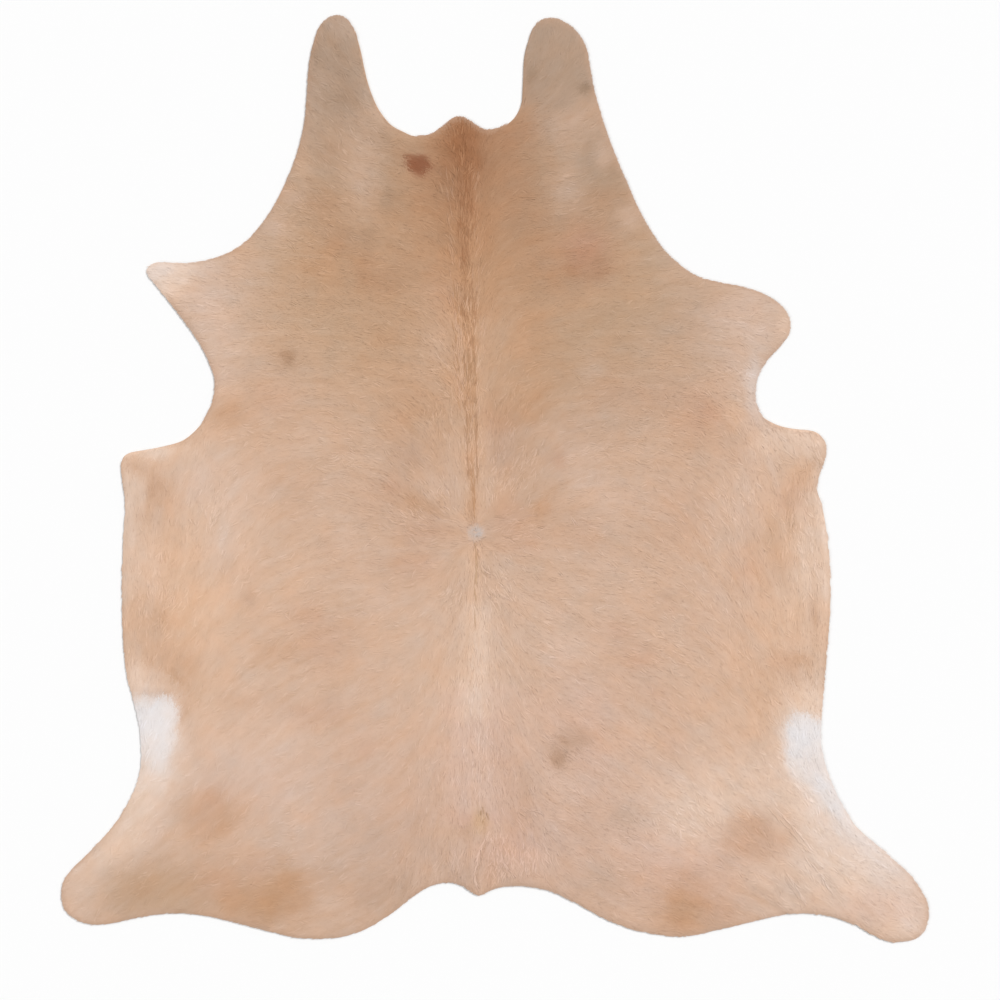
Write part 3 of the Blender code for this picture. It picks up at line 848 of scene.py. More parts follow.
def make_coat_colour():
    """The coat's colour from its dyes, with the faint clouding of every natural coat."""
    tree, given, result = group_with(
        "coat colour",
        [("NodeSocketColor", dye, light(PALETTE[dye])) for dye in PALETTE]
        + [("NodeSocketFloat", "clouding", CLOUDING)],
        [("NodeSocketColor", "colour")],
    )
    # what the dyes leave uncovered shows the ground colour
    uncovered = 1.0
    parts = []
    for dye in DYES:
        share = stored(tree, "dye_" + dye)
        uncovered = maths(tree, "SUBTRACT", uncovered, share)
        parts.append((given.outputs[dye], share))
    parts.append((given.outputs["fawn"], uncovered))
    total = (0.0, 0.0, 0.0)
    for colour, share in parts:
        total = vectors(tree, "ADD", vectors(tree, "SCALE", colour, share), total)
    place = place_on(tree)
    wide, small = (
        maths(tree, "MULTIPLY", noise(tree, place, scale, detail, roughness), share)
        for scale, detail, roughness, share in CLOUDS)
    cloud = maths(tree, "SUBTRACT", maths(tree, "ADD", wide, small), 0.5)
    swing = maths(tree, "MULTIPLY", cloud, given.outputs["clouding"])
    level = maths(tree, "ADD", maths(tree, "MULTIPLY", swing, CLOUD_GAIN), 1.0)
    tinted = vectors(tree, "SCALE", total, level)
    for name, cast in STREAK_CASTS.items():
        tinted = swung(tree, tinted, stored(tree, name), cast)
    for scale, shift, cast in WARM_CLOUDS:
        moved = vectors(tree, "ADD", place, (shift, shift, 0.0))
        warmth = maths(tree, "SUBTRACT", noise(tree, moved, scale, detail=1.0, roughness=0.5), 0.5)
        tinted = swung(tree, tinted, warmth, cast)
    tree.links.new(tinted, result.inputs["colour"])
    return tree


coat_colour = make_coat_colour()


def new_material(name, **values):
    """A material, with its shader's plain values set on the shader's own sockets."""
    material = bpy.data.materials.new(name)
    material.use_nodes = True
    shader = material.node_tree.nodes["Principled BSDF"]
    for label, value in values.items():
        shader.inputs[label.replace("_", " ")].default_value = value
    return material, material.node_tree, shader


def finish_surface(tree, shader, colour, height, strength, depth):
    """Gives the surface its colour, and the fine relief of the height."""
    tree.links.new(colour, shader.inputs["Base Color"])
    bump = node(tree, "ShaderNodeBump", Strength=strength, Distance=depth)
    tree.links.new(height, bump.inputs["Height"])
    tree.links.new(bump.outputs["Normal"], shader.inputs["Normal"])


# How much lighter the undercoat is than the coat: pale skin and down, and painted light that lifts the shade
# in the gaps between the locks.
PALE_DOWN_AND_PAINTED_FILL = 1.04
DOWN_SWING = 0.12


def undercoat_material():
    """The skin between the hair roots: the coat's colour with short down on it, a little lighter, in part for
    its pale skin and in part as painted light that lifts the shade between the locks.
    """
    material, tree, shader = new_material("undercoat", Roughness=0.85, Specular_IOR_Level=0.2)
    colour = node(tree, "ShaderNodeGroup", node_tree=coat_colour).outputs["colour"]
    down = noise(tree, place_on(tree), scale=900.0, detail=2.0, roughness=0.6)
    level = maths(tree, "ADD", maths(tree, "MULTIPLY", down, DOWN_SWING), PALE_DOWN_AND_PAINTED_FILL)
    lighter = vectors(tree, "SCALE", colour, level)
    finish_surface(tree, shader, lighter, height=down, strength=0.5, depth=0.4 * MILLIMETRE)
    return material


FLESH_SHADE = (214, 190, 164)
FLESH_PALE = (232, 214, 194)
VEIN_COLOUR = (196, 160, 132)
NAP_COLOUR = (236, 226, 214)
VEIN_WANDER = 0.12
VEIN_HALF_WIDTH = 0.05
VEIN_STRENGTH = 0.25
NAP_STRENGTH = 0.35


def flesh_material():
    """The flesh side: buffed like suede, pale and warm, with veins just showing."""
    material, tree, shader = new_material(
        "flesh side", Roughness=0.92, Specular_IOR_Level=0.15, Sheen_Weight=0.15)
    place = place_on(tree)
    cloud = noise(tree, place, scale=5.0, detail=4.0, roughness=0.6)
    nap = noise(tree, place, scale=700.0, detail=3.0, roughness=0.65)
    wander = noise(tree, place, scale=9.0, detail=2.0, roughness=0.5, output="Color")
    veins = node(tree, "ShaderNodeTexVoronoi", feature="DISTANCE_TO_EDGE", Scale=7.0)
    warped = vectors(tree, "MULTIPLY_ADD", wander, (VEIN_WANDER,) * 3, place)
    tree.links.new(warped, veins.inputs["Vector"])
    vein = node(tree, "ShaderNodeMapRange", From_Min=0.0, From_Max=VEIN_HALF_WIDTH, To_Min=1.0, To_Max=0.0)
    tree.links.new(veins.outputs["Distance"], vein.inputs["Value"])
    veined = maths(tree, "MULTIPLY", vein.outputs[0], VEIN_STRENGTH)
    colour = mixed(tree, "MIX", cloud, light(FLESH_SHADE), light(FLESH_PALE))
    colour = mixed(tree, "MIX", veined, colour, light(VEIN_COLOUR))
    colour = mixed(tree, "MULTIPLY", NAP_STRENGTH, colour, light(NAP_COLOUR))
    finish_surface(tree, shader, colour, height=nap, strength=0.6, depth=0.3 * MILLIMETRE)
    return material


CUT_SHADE = (190, 158, 128)
CUT_PALE = (222, 200, 176)
CUT_LAYERS = (1.0, 1.0, 12.0)


def cut_edge_material():
    """The knife-cut edge: pale raw leather with its fibres in layers."""
    material, tree, shader = new_material("cut edge", Roughness=0.8, Specular_IOR_Level=0.25)
    layered = vectors(tree, "MULTIPLY", place_on(tree), CUT_LAYERS)
    fibre = noise(tree, layered, scale=160.0, detail=3.0, roughness=0.6)
    colour = mixed(tree, "MIX", fibre, light(CUT_SHADE), light(CUT_PALE))
    finish_surface(tree, shader, colour, height=fibre, strength=0.5, depth=0.2 * MILLIMETRE)
    return material


def mesh_object(name, places, triangles, slots=None):
    """An object whose mesh is built straight from arrays of places and triangles."""
    mesh = bpy.data.meshes.new(name)
    mesh.vertices.add(len(places))
    mesh.vertices.foreach_set("co", np.asarray(places, dtype=np.float32).ravel())
    mesh.loops.add(3 * len(triangles))
    mesh.loops.foreach_set("vertex_index", np.asarray(triangles, dtype=np.int32).ravel())
    mesh.polygons.add(len(triangles))
    mesh.polygons.foreach_set("loop_start", np.arange(0, 3 * len(triangles), 3, dtype=np.int32))
    if slots is not None:
        mesh.polygons.foreach_set("material_index", np.asarray(slots, dtype=np.int32))
    mesh.update(calc_edges=True)
    made = bpy.data.objects.new(name, mesh)
    bpy.context.scene.collection.objects.link(made)
    return made


FLAT_MAP_BORDER = 0.002


def lay_flat_map(made, triangles, places):
    """A flat map of the piece as seen from above, which fills its square."""
    seen = places[:, :2]
    low, high = seen.min(axis=0), seen.max(axis=0)
    share = FLAT_MAP_BORDER + (1 - 2 * FLAT_MAP_BORDER) * (seen - low) / (high - low)
    layer = made.data.uv_layers.new(name="OFBake")
    layer.data.foreach_set("uv", share[triangles.ravel()].astype(np.float32).ravel())


def store_colours(made, x, y, domain, own_dye=None, own_share=None):
    """Gives the piece the coat's dyes and streaks at those places, under a dye of its own if it has one."""
    shares = dye_shares(x, y)
    if own_dye is not None:
        shares *= (1 - own_share)[:, None]
        shares[np.arange(len(x)), [DYES.index(dye) for dye in own_dye]] += own_share
    values = {"dye_" + dye: shares[:, index] for index, dye in enumerate(DYES)}
    coloured = 1 - CALM_OF_WHITE * shares[:, DYES.index("white")]
    for name, kinds in STREAKS.items():
        swings = [swing * streaks(x, y, wide * MILLIMETRE, seed) for swing, wide, seed in kinds]
        values[name] = coloured * sum(swings)
    for name, numbers in values.items():
        layer = made.data.attributes.new(name, "FLOAT", domain)
        layer.data.foreach_set("value", np.ascontiguousarray(numbers, dtype=np.float32))


SAME_CUT = MILLIMETRE / 100


def cut_skin(loop):
    """The outline as one flat face, cut into small cells and then into triangles."""
    net = bmesh.new()
    corners = [net.verts.new((x, y, 0)) for x, y in loop]
    net.faces.new(corners)
    for axis in (0, 1):
        low, high = loop[:, axis].min(), loop[:, axis].max()
        across = [0.0, 0.0, 0.0]
        across[axis] = 1.0
        for place in np.arange(low + SKIN_CELL / 2, high, SKIN_CELL):
            point = [0.0, 0.0, 0.0]
            point[axis] = place
            bmesh.ops.bisect_plane(
                net, geom=net.verts[:] + net.edges[:] + net.faces[:], plane_co=point, plane_no=across,
                dist=SAME_CUT)
    bmesh.ops.triangulate(net, faces=net.faces[:])
    net.verts.index_update()
    net.faces.ensure_lookup_table()
    net.normal_update()
    places = np.array([vert.co[:] for vert in net.verts])
    triangles = np.array([[vert.index for vert in face.verts] for face in net.faces])
    if net.faces[0].normal.z < 0:
        triangles = triangles[:, ::-1]
    net.free()
    return places, triangles


def border_runs(triangles):
    """The border's edges, each in the direction in which its triangle runs."""
    runs = np.concatenate([triangles[:, [0, 1]], triangles[:, [1, 2]], triangles[:, [2, 0]]])
    known = {tuple(run) for run in runs.tolist()}
    return np.array([run for run in runs.tolist() if (run[1], run[0]) not in known])


def make_skin():
    """The skin as one closed piece: its hair side, its flesh side and the cut edge around them."""
    ahead = np.roll(outline, -1, axis=0) - np.roll(outline, 1, axis=0)
    ahead /= np.linalg.norm(ahead, axis=1)[:, None]
    outward = np.stack([ahead[:, 1], -ahead[:, 0]], axis=1)
    trimmed = outline - outward * CUT_BACK
    places, triangles = cut_skin(trimmed)
    x, y = places[:, 0], places[:, 1]
    count = len(places)
    top = places.copy()
    top[:, 2] = down_top(x, y)
    under = places.copy()
    under[:, 2] = np.maximum(0.0, skin_top(x, y) - SKIN_THICKNESS)
    runs = border_runs(triangles)
    rim = np.unique(runs)
    middle_of = {vert: 2 * count + order for order, vert in enumerate(rim.tolist())}
    nearest = np.array([np.argmin(((trimmed - place) ** 2).sum(axis=1)) for place in places[rim, :2]])
    middle = places[rim].copy()
    middle[:, :2] += outward[nearest] * CUT_BULGE
    middle[:, 2] = (top[rim, 2] + under[rim, 2]) / 2
    walls = []
    for start, end in runs.tolist():
        middle_start, middle_end = middle_of[start], middle_of[end]
        for upper, lower in (((start, end), (middle_start, middle_end)),
                             ((middle_start, middle_end), (start + count, end + count))):
            walls.append((upper[0], lower[0], lower[1]))
            walls.append((upper[0], lower[1], upper[1]))
    all_places = np.vstack([top, under, middle])
    all_triangles = np.vstack([triangles, triangles[:, ::-1] + count, walls])
    slots = np.concatenate([np.zeros(len(triangles)), np.ones(len(triangles)), np.full(len(walls), 2)])
    made = mesh_object("skin", all_places, all_triangles, slots)
    for material in (undercoat_material(), flesh_material(), cut_edge_material()):
        made.data.materials.append(material)
    store_colours(made, all_places[:, 0], all_places[:, 1], "POINT")
    return made


skin = make_skin()
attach(skin, "root")
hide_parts("hide")

# The coat of the neck
# Flat, dense hair 28 mm long on the neck and its two lobes, where it turns out and up. Each small blade is a
# lock of a few hairs that grows from the skin, lies along the others and ends in a point.
NECK_FROM = 143
NECK_HAIR = 28 * MILLIMETRE
ROOT_SPACING = 2.75 * MILLIMETRE
ROOT_SCATTER = 0.55
ROOT_DEPTH = 0.2 * MILLIMETRE
LENGTH_SPREAD = (0.7, 1.25)
LOCK_WIDTH = 2.4 * MILLIMETRE
LOCK_WIDTH_SPREAD = (0.75, 1.25)
LOCK_STRAY = 6.0
LOCK_SWIRL = 9.0
SWIRL_SIZE = 2.2 * CENTIMETRE
LOCK_ROLL = 3.0
ROLL_SHOWN = 0.4
LOCK_LIFT = (0.65, 1.1)
TIP_LIFT = (0.75, 1.05)
WIDEST_AT = 0.40
LOWEST_HAIR = 0.3 * MILLIMETRE
LOCK_ROUNDING = 0.04
CLUMP_SIZE = 1.2 * CENTIMETRE
OVERHANG = 2.5 * MILLIMETRE
SHORTEST_LOCK = 0.12
LEAST_LENGTH = 1e-9
HAIR_NUMBERS = 100
# A lock's corners are its root, its two widest places and its tip. These are its triangles between them, and
# how far along its lower and its upper half each takes its colour.
LOCK_TRIANGLES = ((0, 2, 1), (2, 3, 1))
LOWER_COLOUR_AT = 0.4
UPPER_COLOUR_AT = 0.65

coat_slope_up, coat_slope_out = np.gradient(skin_top_map + coat_depth_map, MAP_STEP)
coat_slope_x = field(coat_slope_out)
coat_slope_y = field(coat_slope_up)


def lie_at(x, y):
    """The direction of the hair at each place, in radians from +X."""
    return np.arctan2(lie_y(x, y), lie_x(x, y))


def hair_roots(spacing, seed, bottom=-math.inf, top=math.inf):
    """Even but not regular places on the skin, between two heights above the tail's end."""
    xs = np.arange(low_corner[0], high_corner[0], spacing)
    ys = np.arange(low_corner[1], high_corner[1], spacing)
    x, y = (part.ravel() for part in np.meshgrid(xs, ys))
    chance = np.random.default_rng(seed)
    x = x + chance.uniform(-ROOT_SCATTER, ROOT_SCATTER, len(x)) * spacing
    y = y + chance.uniform(-ROOT_SCATTER, ROOT_SCATTER, len(y)) * spacing
    up = out_up(x, y)[1]
    kept = (edge_distance(x, y) > CUT_BACK) & (up > bottom) & (up <= top)
    return x[kept], y[kept]


def share_kept(x, y, tip_x, tip_y, overhang, shortest, chance):
    """How much of its length a hair keeps, so that it reaches only a little past the trimmed outline."""
    inside_root = np.maximum(edge_distance(x, y), 0)
    inside_tip = edge_distance(tip_x, tip_y)
    allowed = overhang * chance.uniform(0, 1, len(x)) ** 2
    reach = inside_root - inside_tip + LEAST_LENGTH
    share = np.where(inside_tip < -allowed, (inside_root + allowed) / reach, 1.0)
    return np.clip(share, shortest, 1.0)


def join_hairs(name, corners, pattern):
    """One piece of many like hairs, from the corners of each and the triangles between them."""
    places = corners.reshape(-1, 3)
    first = corners.shape[1] * np.arange(len(corners))[:, None, None]
    triangles = (first + np.array(pattern)).reshape(-1, 3)
    made = mesh_object(name, places, triangles)
    lay_flat_map(made, triangles, places)
    return made


def face_as_coat(made, x, y, angle, lean):
    """Each corner faces as the coat at its root, and leans to its own side as a bundle of hairs does."""
    facing = np.ones((*lean.shape, 3))
    facing[:, :, 0] = -np.sin(angle)[:, None] * lean - coat_slope_x(x, y)[:, None]
    facing[:, :, 1] = np.cos(angle)[:, None] * lean - coat_slope_y(x, y)[:, None]
    facing /= np.linalg.norm(facing, axis=2)[:, :, None]
    made.data.normals_split_custom_set_from_vertices(facing.reshape(-1, 3))


def keep_tones(made, tone, across, along, chance):
    """Keeps each hair's tone, how far across and along it its corners lie, and a number of its own."""
    layer = made.data.attributes.new("tone", "FLOAT", "FACE")
    layer.data.foreach_set("value", np.repeat(tone, len(layer.data) // len(tone)).astype(np.float32))
    hair = np.empty((len(tone), len(across), 3), dtype=np.float32)
    hair[:, :, 0] = across
    hair[:, :, 1] = along
    hair[:, :, 2] = chance.uniform(0, HAIR_NUMBERS, len(tone))[:, None]
    layer = made.data.attributes.new("lock", "FLOAT_VECTOR", "POINT")
    layer.data.foreach_set("vector", hair.ravel())


def comb(name, x, y, length, seed):
    """Lays a lock from each root along the coat, and joins them all in one piece."""
    chance = np.random.default_rng(seed)
    count = len(x)
    long = length * chance.uniform(*LENGTH_SPREAD, count)
    wide = LOCK_WIDTH * chance.uniform(*LOCK_WIDTH_SPREAD, count)
    swirl = LOCK_SWIRL * ripple(x, y, SWIRL_SIZE, seed + 1)
    turn = np.radians(swirl + LOCK_STRAY * chance.normal(0, 1, count))
    start_angle = lie_at(x, y) + turn
    halfway_x = x + 0.5 * long * np.cos(start_angle)
    halfway_y = y + 0.5 * long * np.sin(start_angle)
    end_angle = lie_at(halfway_x, halfway_y) + turn
    tip_x = halfway_x + 0.5 * long * np.cos(end_angle)
    tip_y = halfway_y + 0.5 * long * np.sin(end_angle)
    share = share_kept(x, y, tip_x, tip_y, OVERHANG, SHORTEST_LOCK, chance)
    long = long * share
    tip_x = x + (tip_x - x) * share
    tip_y = y + (tip_y - y) * share
    middle_x = x + WIDEST_AT * long * np.cos(start_angle)
    middle_y = y + WIDEST_AT * long * np.sin(start_angle)

    rise = chance.uniform(*LOCK_LIFT, count)
    fall = chance.uniform(*TIP_LIFT, count)
    root_z = down_top(x, y) - ROOT_DEPTH
    middle_z = np.maximum(down_top(middle_x, middle_y) + loose_depth(middle_x, middle_y) * rise, LOWEST_HAIR)
    tip_z = np.maximum(down_top(tip_x, tip_y) + loose_depth(tip_x, tip_y) * rise * fall, LOWEST_HAIR)
    tilt = np.radians(LOCK_ROLL) * chance.normal(0, 1, count)
    side_x = -np.sin(start_angle) * wide / 2
    side_y = np.cos(start_angle) * wide / 2
    side_z = np.tan(tilt) * wide / 2
    corners = np.empty((count, 4, 3))
    corners[:, 0] = np.stack([x, y, root_z], axis=1)
    corners[:, 1] = np.stack([middle_x + side_x, middle_y + side_y, middle_z + side_z], axis=1)
    corners[:, 2] = np.stack([middle_x - side_x, middle_y - side_y, middle_z - side_z], axis=1)
    corners[:, 3] = np.stack([tip_x, tip_y, tip_z], axis=1)
    made = join_hairs(name, corners, LOCK_TRIANGLES)

    lower, upper = LOWER_COLOUR_AT, UPPER_COLOUR_AT
    colour_x = np.stack([(1 - lower) * x + lower * middle_x, (1 - upper) * middle_x + upper * tip_x], axis=1)
    colour_y = np.stack([(1 - lower) * y + lower * middle_y, (1 - upper) * middle_y + upper * tip_y], axis=1)
    store_colours(made, colour_x.ravel(), colour_y.ravel(), "FACE")
    lean = np.array((0.0, LOCK_ROUNDING, -LOCK_ROUNDING, 0.0)) - ROLL_SHOWN * np.tan(tilt)[:, None]
    face_as_coat(made, x, y, start_angle, lean)
    clump = ripple(middle_x, middle_y, CLUMP_SIZE, seed + 2)
    tone = 0.5 * clump + 0.5 * chance.normal(0, 1, count)
    keep_tones(made, tone, (0, -1, 1, 0), (0, WIDEST_AT, WIDEST_AT, 1), chance)
    return made


SHADED_HAIR = (0.80, 1.0, 1.35)
LOCK_TONE = 0.014
TIP_LIGHT = 0.03
TIP_FROM = 0.6
SINGLE_HAIRS = (2.2, 0.6, 1.0)
SINGLE_HAIR_SWING = 0.025


def hair_material(name, tone=LOCK_TONE):
    """Dry cattle hair: the coat's colour, each lock a little lighter or darker, with single hairs in it."""
    material, tree, shader = new_material(
        name, Roughness=0.6, Specular_IOR_Level=0.3, Sheen_Weight=0.1, Sheen_Roughness=0.4)
    colour = node(tree, "ShaderNodeGroup", node_tree=coat_colour).outputs["colour"]
    lock = stored(tree, "lock", output="Vector")
    ways = node(tree, "ShaderNodeSeparateXYZ")
    tree.links.new(lock, ways.inputs[0])
    drawn_out = vectors(tree, "MULTIPLY", lock, SINGLE_HAIRS)
    single = noise(tree, drawn_out, scale=1.0, detail=1.0, roughness=0.5)
    by_tone = maths(tree, "MULTIPLY", stored(tree, "tone"), tone)
    by_tip = maths(tree, "MULTIPLY", maths(tree, "SUBTRACT", ways.outputs[1], TIP_FROM), TIP_LIGHT)
    by_hair = maths(tree, "MULTIPLY", maths(tree, "SUBTRACT", single, 0.5), SINGLE_HAIR_SWING)
    level = maths(tree, "ADD", maths(tree, "ADD", by_tone, by_tip), by_hair)
    toned = swung(tree, colour, level, SHADED_HAIR)
    finish_surface(tree, shader, toned, height=single, strength=0.3, depth=0.15 * MILLIMETRE)
    return material


def dress(made, material):
    """A piece of coat goes with the skin and has its slot."""
    made.data.materials.append(material)
    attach(made, "root")


def grow(name, hair, length, seed, bottom=-math.inf, top=math.inf):
    """The coat between two heights above the tail's end, from its roots to its finish."""
    x, y = hair_roots(ROOT_SPACING, seed, bottom, top)
    dress(comb(name, x, y, length, seed + 1), hair_material(hair))


grow("coat_neck", "neck hair", NECK_HAIR, seed=21, bottom=NECK_FROM)

# The coat of the shoulders and fore shanks
# Close hair, 25 mm long over the shoulders, that runs straight out from the backbone. On the two trimmed
# fore shanks it turns out and down with them.
SHOULDERS_FROM = 110
SHOULDER_HAIR = 25 * MILLIMETRE
grow("coat_shoulders", "shoulder hair", SHOULDER_HAIR, seed=31, bottom=SHOULDERS_FROM, top=NECK_FROM)

# The coat of the back and the flanks
# Hair 27 mm long that leaves the backbone sideways, around the whorl in its middle. It turns down along the
# belly's edge and lies looser there.
BACK_FROM = 74
BACK_HAIR = 27 * MILLIMETRE
grow("coat_back", "back hair", BACK_HAIR, seed=41, bottom=BACK_FROM, top=SHOULDERS_FROM)

# The coat of the loin and the belly
# The smoothest hair of the hide, 27 mm long. It grows slanting from the backbone down to the two white
# patches of the belly.
LOIN_FROM = 36
LOIN_HAIR = 27 * MILLIMETRE
grow("coat_loin", "loin hair", LOIN_HAIR, seed=51, bottom=LOIN_FROM, top=BACK_FROM)

# The coat of the rump
# Close hair, 24 mm long, that spreads down and out from the backbone towards the two hind shanks and the
# tail.
RUMP_FROM = 14
RUMP_HAIR = 24 * MILLIMETRE
grow("coat_rump", "rump hair", RUMP_HAIR, seed=61, bottom=RUMP_FROM, top=LOIN_FROM)

# The coat of the hind shanks and the tail
# Close hair, 24 mm long, that runs out along the two hind shanks and down to the tail's cut end. It hangs a
# little over the lower edge.
SHANK_HAIR = 24 * MILLIMETRE
grow("coat_hind_shanks", "shank hair", SHANK_HAIR, seed=71, top=RUMP_FROM)

# The tufts of the coat
# All over the coat a few hairs cling together in curved tufts, 12 to 30 mm long, a strand with painted
# highlight beside one with painted shade. They show most around the whorl, along the backbone and down the
# flanks.
STRAND_ALONG = np.array((0.0, 0.2, 0.5, 0.8, 1.0))
STRAND_WIDTH = np.array((0.0, 0.8, 1.0, 0.65, 0.0))
STRAND_RISE = np.array((-0.3, 0.8, 1.0, 1.0, 0.8))
SHORTEST_STRAND = 0.15
# A strand's corners are its root, the left and right border of each of its three widths, and its tip. These
# are the width that each corner belongs to, its side, the triangles, and the part on which each lies.
CORNER_WIDTH = np.array((0, 1, 1, 2, 2, 3, 3, 4))
CORNER_SIDE = np.array((0, 1, -1, 1, -1, 1, -1, 0))
STRAND_TRIANGLES = ((0, 2, 1), (1, 2, 3), (3, 2, 4), (3, 4, 5), (5, 4, 6), (5, 6, 7))
TRIANGLE_PART = np.array((0, 1, 1, 2, 2, 3))


def strands(name, x, y, angle, bend, long, wide, tone, lift, seed, dye=None, dye_share=0.0, overhang=OVERHANG,
            rounding=0.1):
    """Lays one curved strand from each root, in the given direction, and joins them all in one piece."""
    chance = np.random.default_rng(seed)
    count = len(x)

    def walk(length):
        xs, ys = [x], [y]
        for before, after in zip(STRAND_ALONG, STRAND_ALONG[1:]):
            heading = angle + bend * (before + after) / 2
            xs.append(xs[-1] + (after - before) * length * np.cos(heading))
            ys.append(ys[-1] + (after - before) * length * np.sin(heading))
        return np.stack(xs, axis=1), np.stack(ys, axis=1)

    xs, ys = walk(long)
    xs, ys = walk(long * share_kept(x, y, xs[:, -1], ys[:, -1], overhang, SHORTEST_STRAND, chance))
    zs = np.maximum(down_top(xs, ys) + loose_depth(xs, ys) * (STRAND_RISE * lift[:, None]), LOWEST_HAIR)
    heading = angle[:, None] + bend[:, None] * STRAND_ALONG[CORNER_WIDTH]
    aside = CORNER_SIDE * (wide[:, None] / 2 * STRAND_WIDTH[CORNER_WIDTH])
    corner_x = xs[:, CORNER_WIDTH] - aside * np.sin(heading)
    corner_y = ys[:, CORNER_WIDTH] + aside * np.cos(heading)
    made = join_hairs(name, np.stack([corner_x, corner_y, zs[:, CORNER_WIDTH]], axis=2), STRAND_TRIANGLES)

    colour_x = (xs[:, TRIANGLE_PART] + xs[:, TRIANGLE_PART + 1]) / 2
    colour_y = (ys[:, TRIANGLE_PART] + ys[:, TRIANGLE_PART + 1]) / 2
    own_dye = None if dye is None else np.repeat(np.broadcast_to(dye, (count,)), len(TRIANGLE_PART))
    own_share = np.repeat(np.broadcast_to(dye_share, (count,)), len(TRIANGLE_PART))
    store_colours(made, colour_x.ravel(), colour_y.ravel(), "FACE", own_dye, own_share)
    face_as_coat(made, x, y, angle, np.tile(CORNER_SIDE * rounding, (count, 1)))
    keep_tones(made, tone, CORNER_SIDE, STRAND_ALONG[CORNER_WIDTH], chance)
    return made


# Turns are in degrees. A strand's tone is how much lighter or, below zero, darker it is than the coat.
TUFT_STRANDS = (2, 4)
TUFT_WIDTH = 3.5 * MILLIMETRE
TUFT_WIDTH_SPREAD = (0.7, 1.2)
TUFT_STRAY = 15
TUFT_BEND = 20
TUFT_CLOSENESS = 0.95
TUFT_SCATTER = 2
TUFT_FAN = 3.5
TUFT_STRAND_STRAY = 3
TUFT_STRENGTH = (0.4, 1.0)
TUFT_LIFT = (1.12, 1.5)
# How much lighter a strand with painted highlight is, and how much darker one with painted shade.
PAINTED_HIGHLIGHT_TONE = 0.085
PAINTED_SHADE_TONE = -0.06


def tufted(name, x, y, turn, long, contrast, seed, rounding):
    """Lays a tuft of two or more strands at each place; turn is its direction against the coat's lie."""
    chance = np.random.default_rng(seed)
    tufts = len(x)
    number = chance.integers(TUFT_STRANDS[0], TUFT_STRANDS[1] + 1, tufts)
    owner = np.repeat(np.arange(tufts), number)
    order = np.arange(len(owner)) - np.repeat(np.cumsum(number) - number, number)
    aside = order - (number[owner] - 1) / 2
    total = len(owner)
    way = lie_at(x, y) + turn + np.radians(chance.normal(0, TUFT_STRAY, tufts))
    bend = np.radians(chance.normal(0, TUFT_BEND, tufts))
    root_x = x[owner] - np.sin(way[owner]) * aside * TUFT_WIDTH * TUFT_CLOSENESS
    root_x += chance.normal(0, TUFT_SCATTER, total) * MILLIMETRE
    root_y = y[owner] + np.cos(way[owner]) * aside * TUFT_WIDTH * TUFT_CLOSENESS
    root_y += chance.normal(0, TUFT_SCATTER, total) * MILLIMETRE
    kept = edge_distance(root_x, root_y) > CUT_BACK
    stray = np.radians(chance.normal(0, TUFT_STRAND_STRAY, total))
    angle = way[owner] - np.radians(TUFT_FAN) * aside + stray
    # Strands take turns in a tuft: a lighter one with painted highlight, a darker one with painted shade.
    bright = (order + chance.integers(0, 2, tufts)[owner]) % 2 == 0
    strength = chance.uniform(*TUFT_STRENGTH, total) * contrast[owner]
    tone = np.where(bright, PAINTED_HIGHLIGHT_TONE, PAINTED_SHADE_TONE) * strength
    lift = chance.uniform(*TUFT_LIFT, total)
    length = long[owner] * chance.uniform(*LENGTH_SPREAD, total)
    width = TUFT_WIDTH * chance.uniform(*TUFT_WIDTH_SPREAD, total)
    return strands(name, root_x[kept], root_y[kept], angle[kept], bend[owner][kept], length[kept],
                   width[kept], tone[kept], lift[kept], seed + 1, rounding=rounding)


TUFT_SPACING = 26 * MILLIMETRE
TUFT_HAIR = 25 * MILLIMETRE
TUFT_CLOUD = 6 * CENTIMETRE
TUFT_CONTRAST = 0.55
TUFT_CONTRAST_SWING = 0.8
TUFT_CONTRAST_LIMITS = (0.1, 1.2)
FULL_TONE = 1.0
tuft_x, tuft_y = hair_roots(TUFT_SPACING, seed=81)
tuft_contrast = TUFT_CONTRAST + TUFT_CONTRAST_SWING * ripple(tuft_x, tuft_y, TUFT_CLOUD, seed=82)
tuft_contrast = np.clip(tuft_contrast, *TUFT_CONTRAST_LIMITS)
dress(
    tufted("coat_tufts", tuft_x, tuft_y, np.zeros(len(tuft_x)), np.full(len(tuft_x), TUFT_HAIR),
           tuft_contrast, seed=83, rounding=0.18),
    hair_material("tuft hair", FULL_TONE)
)

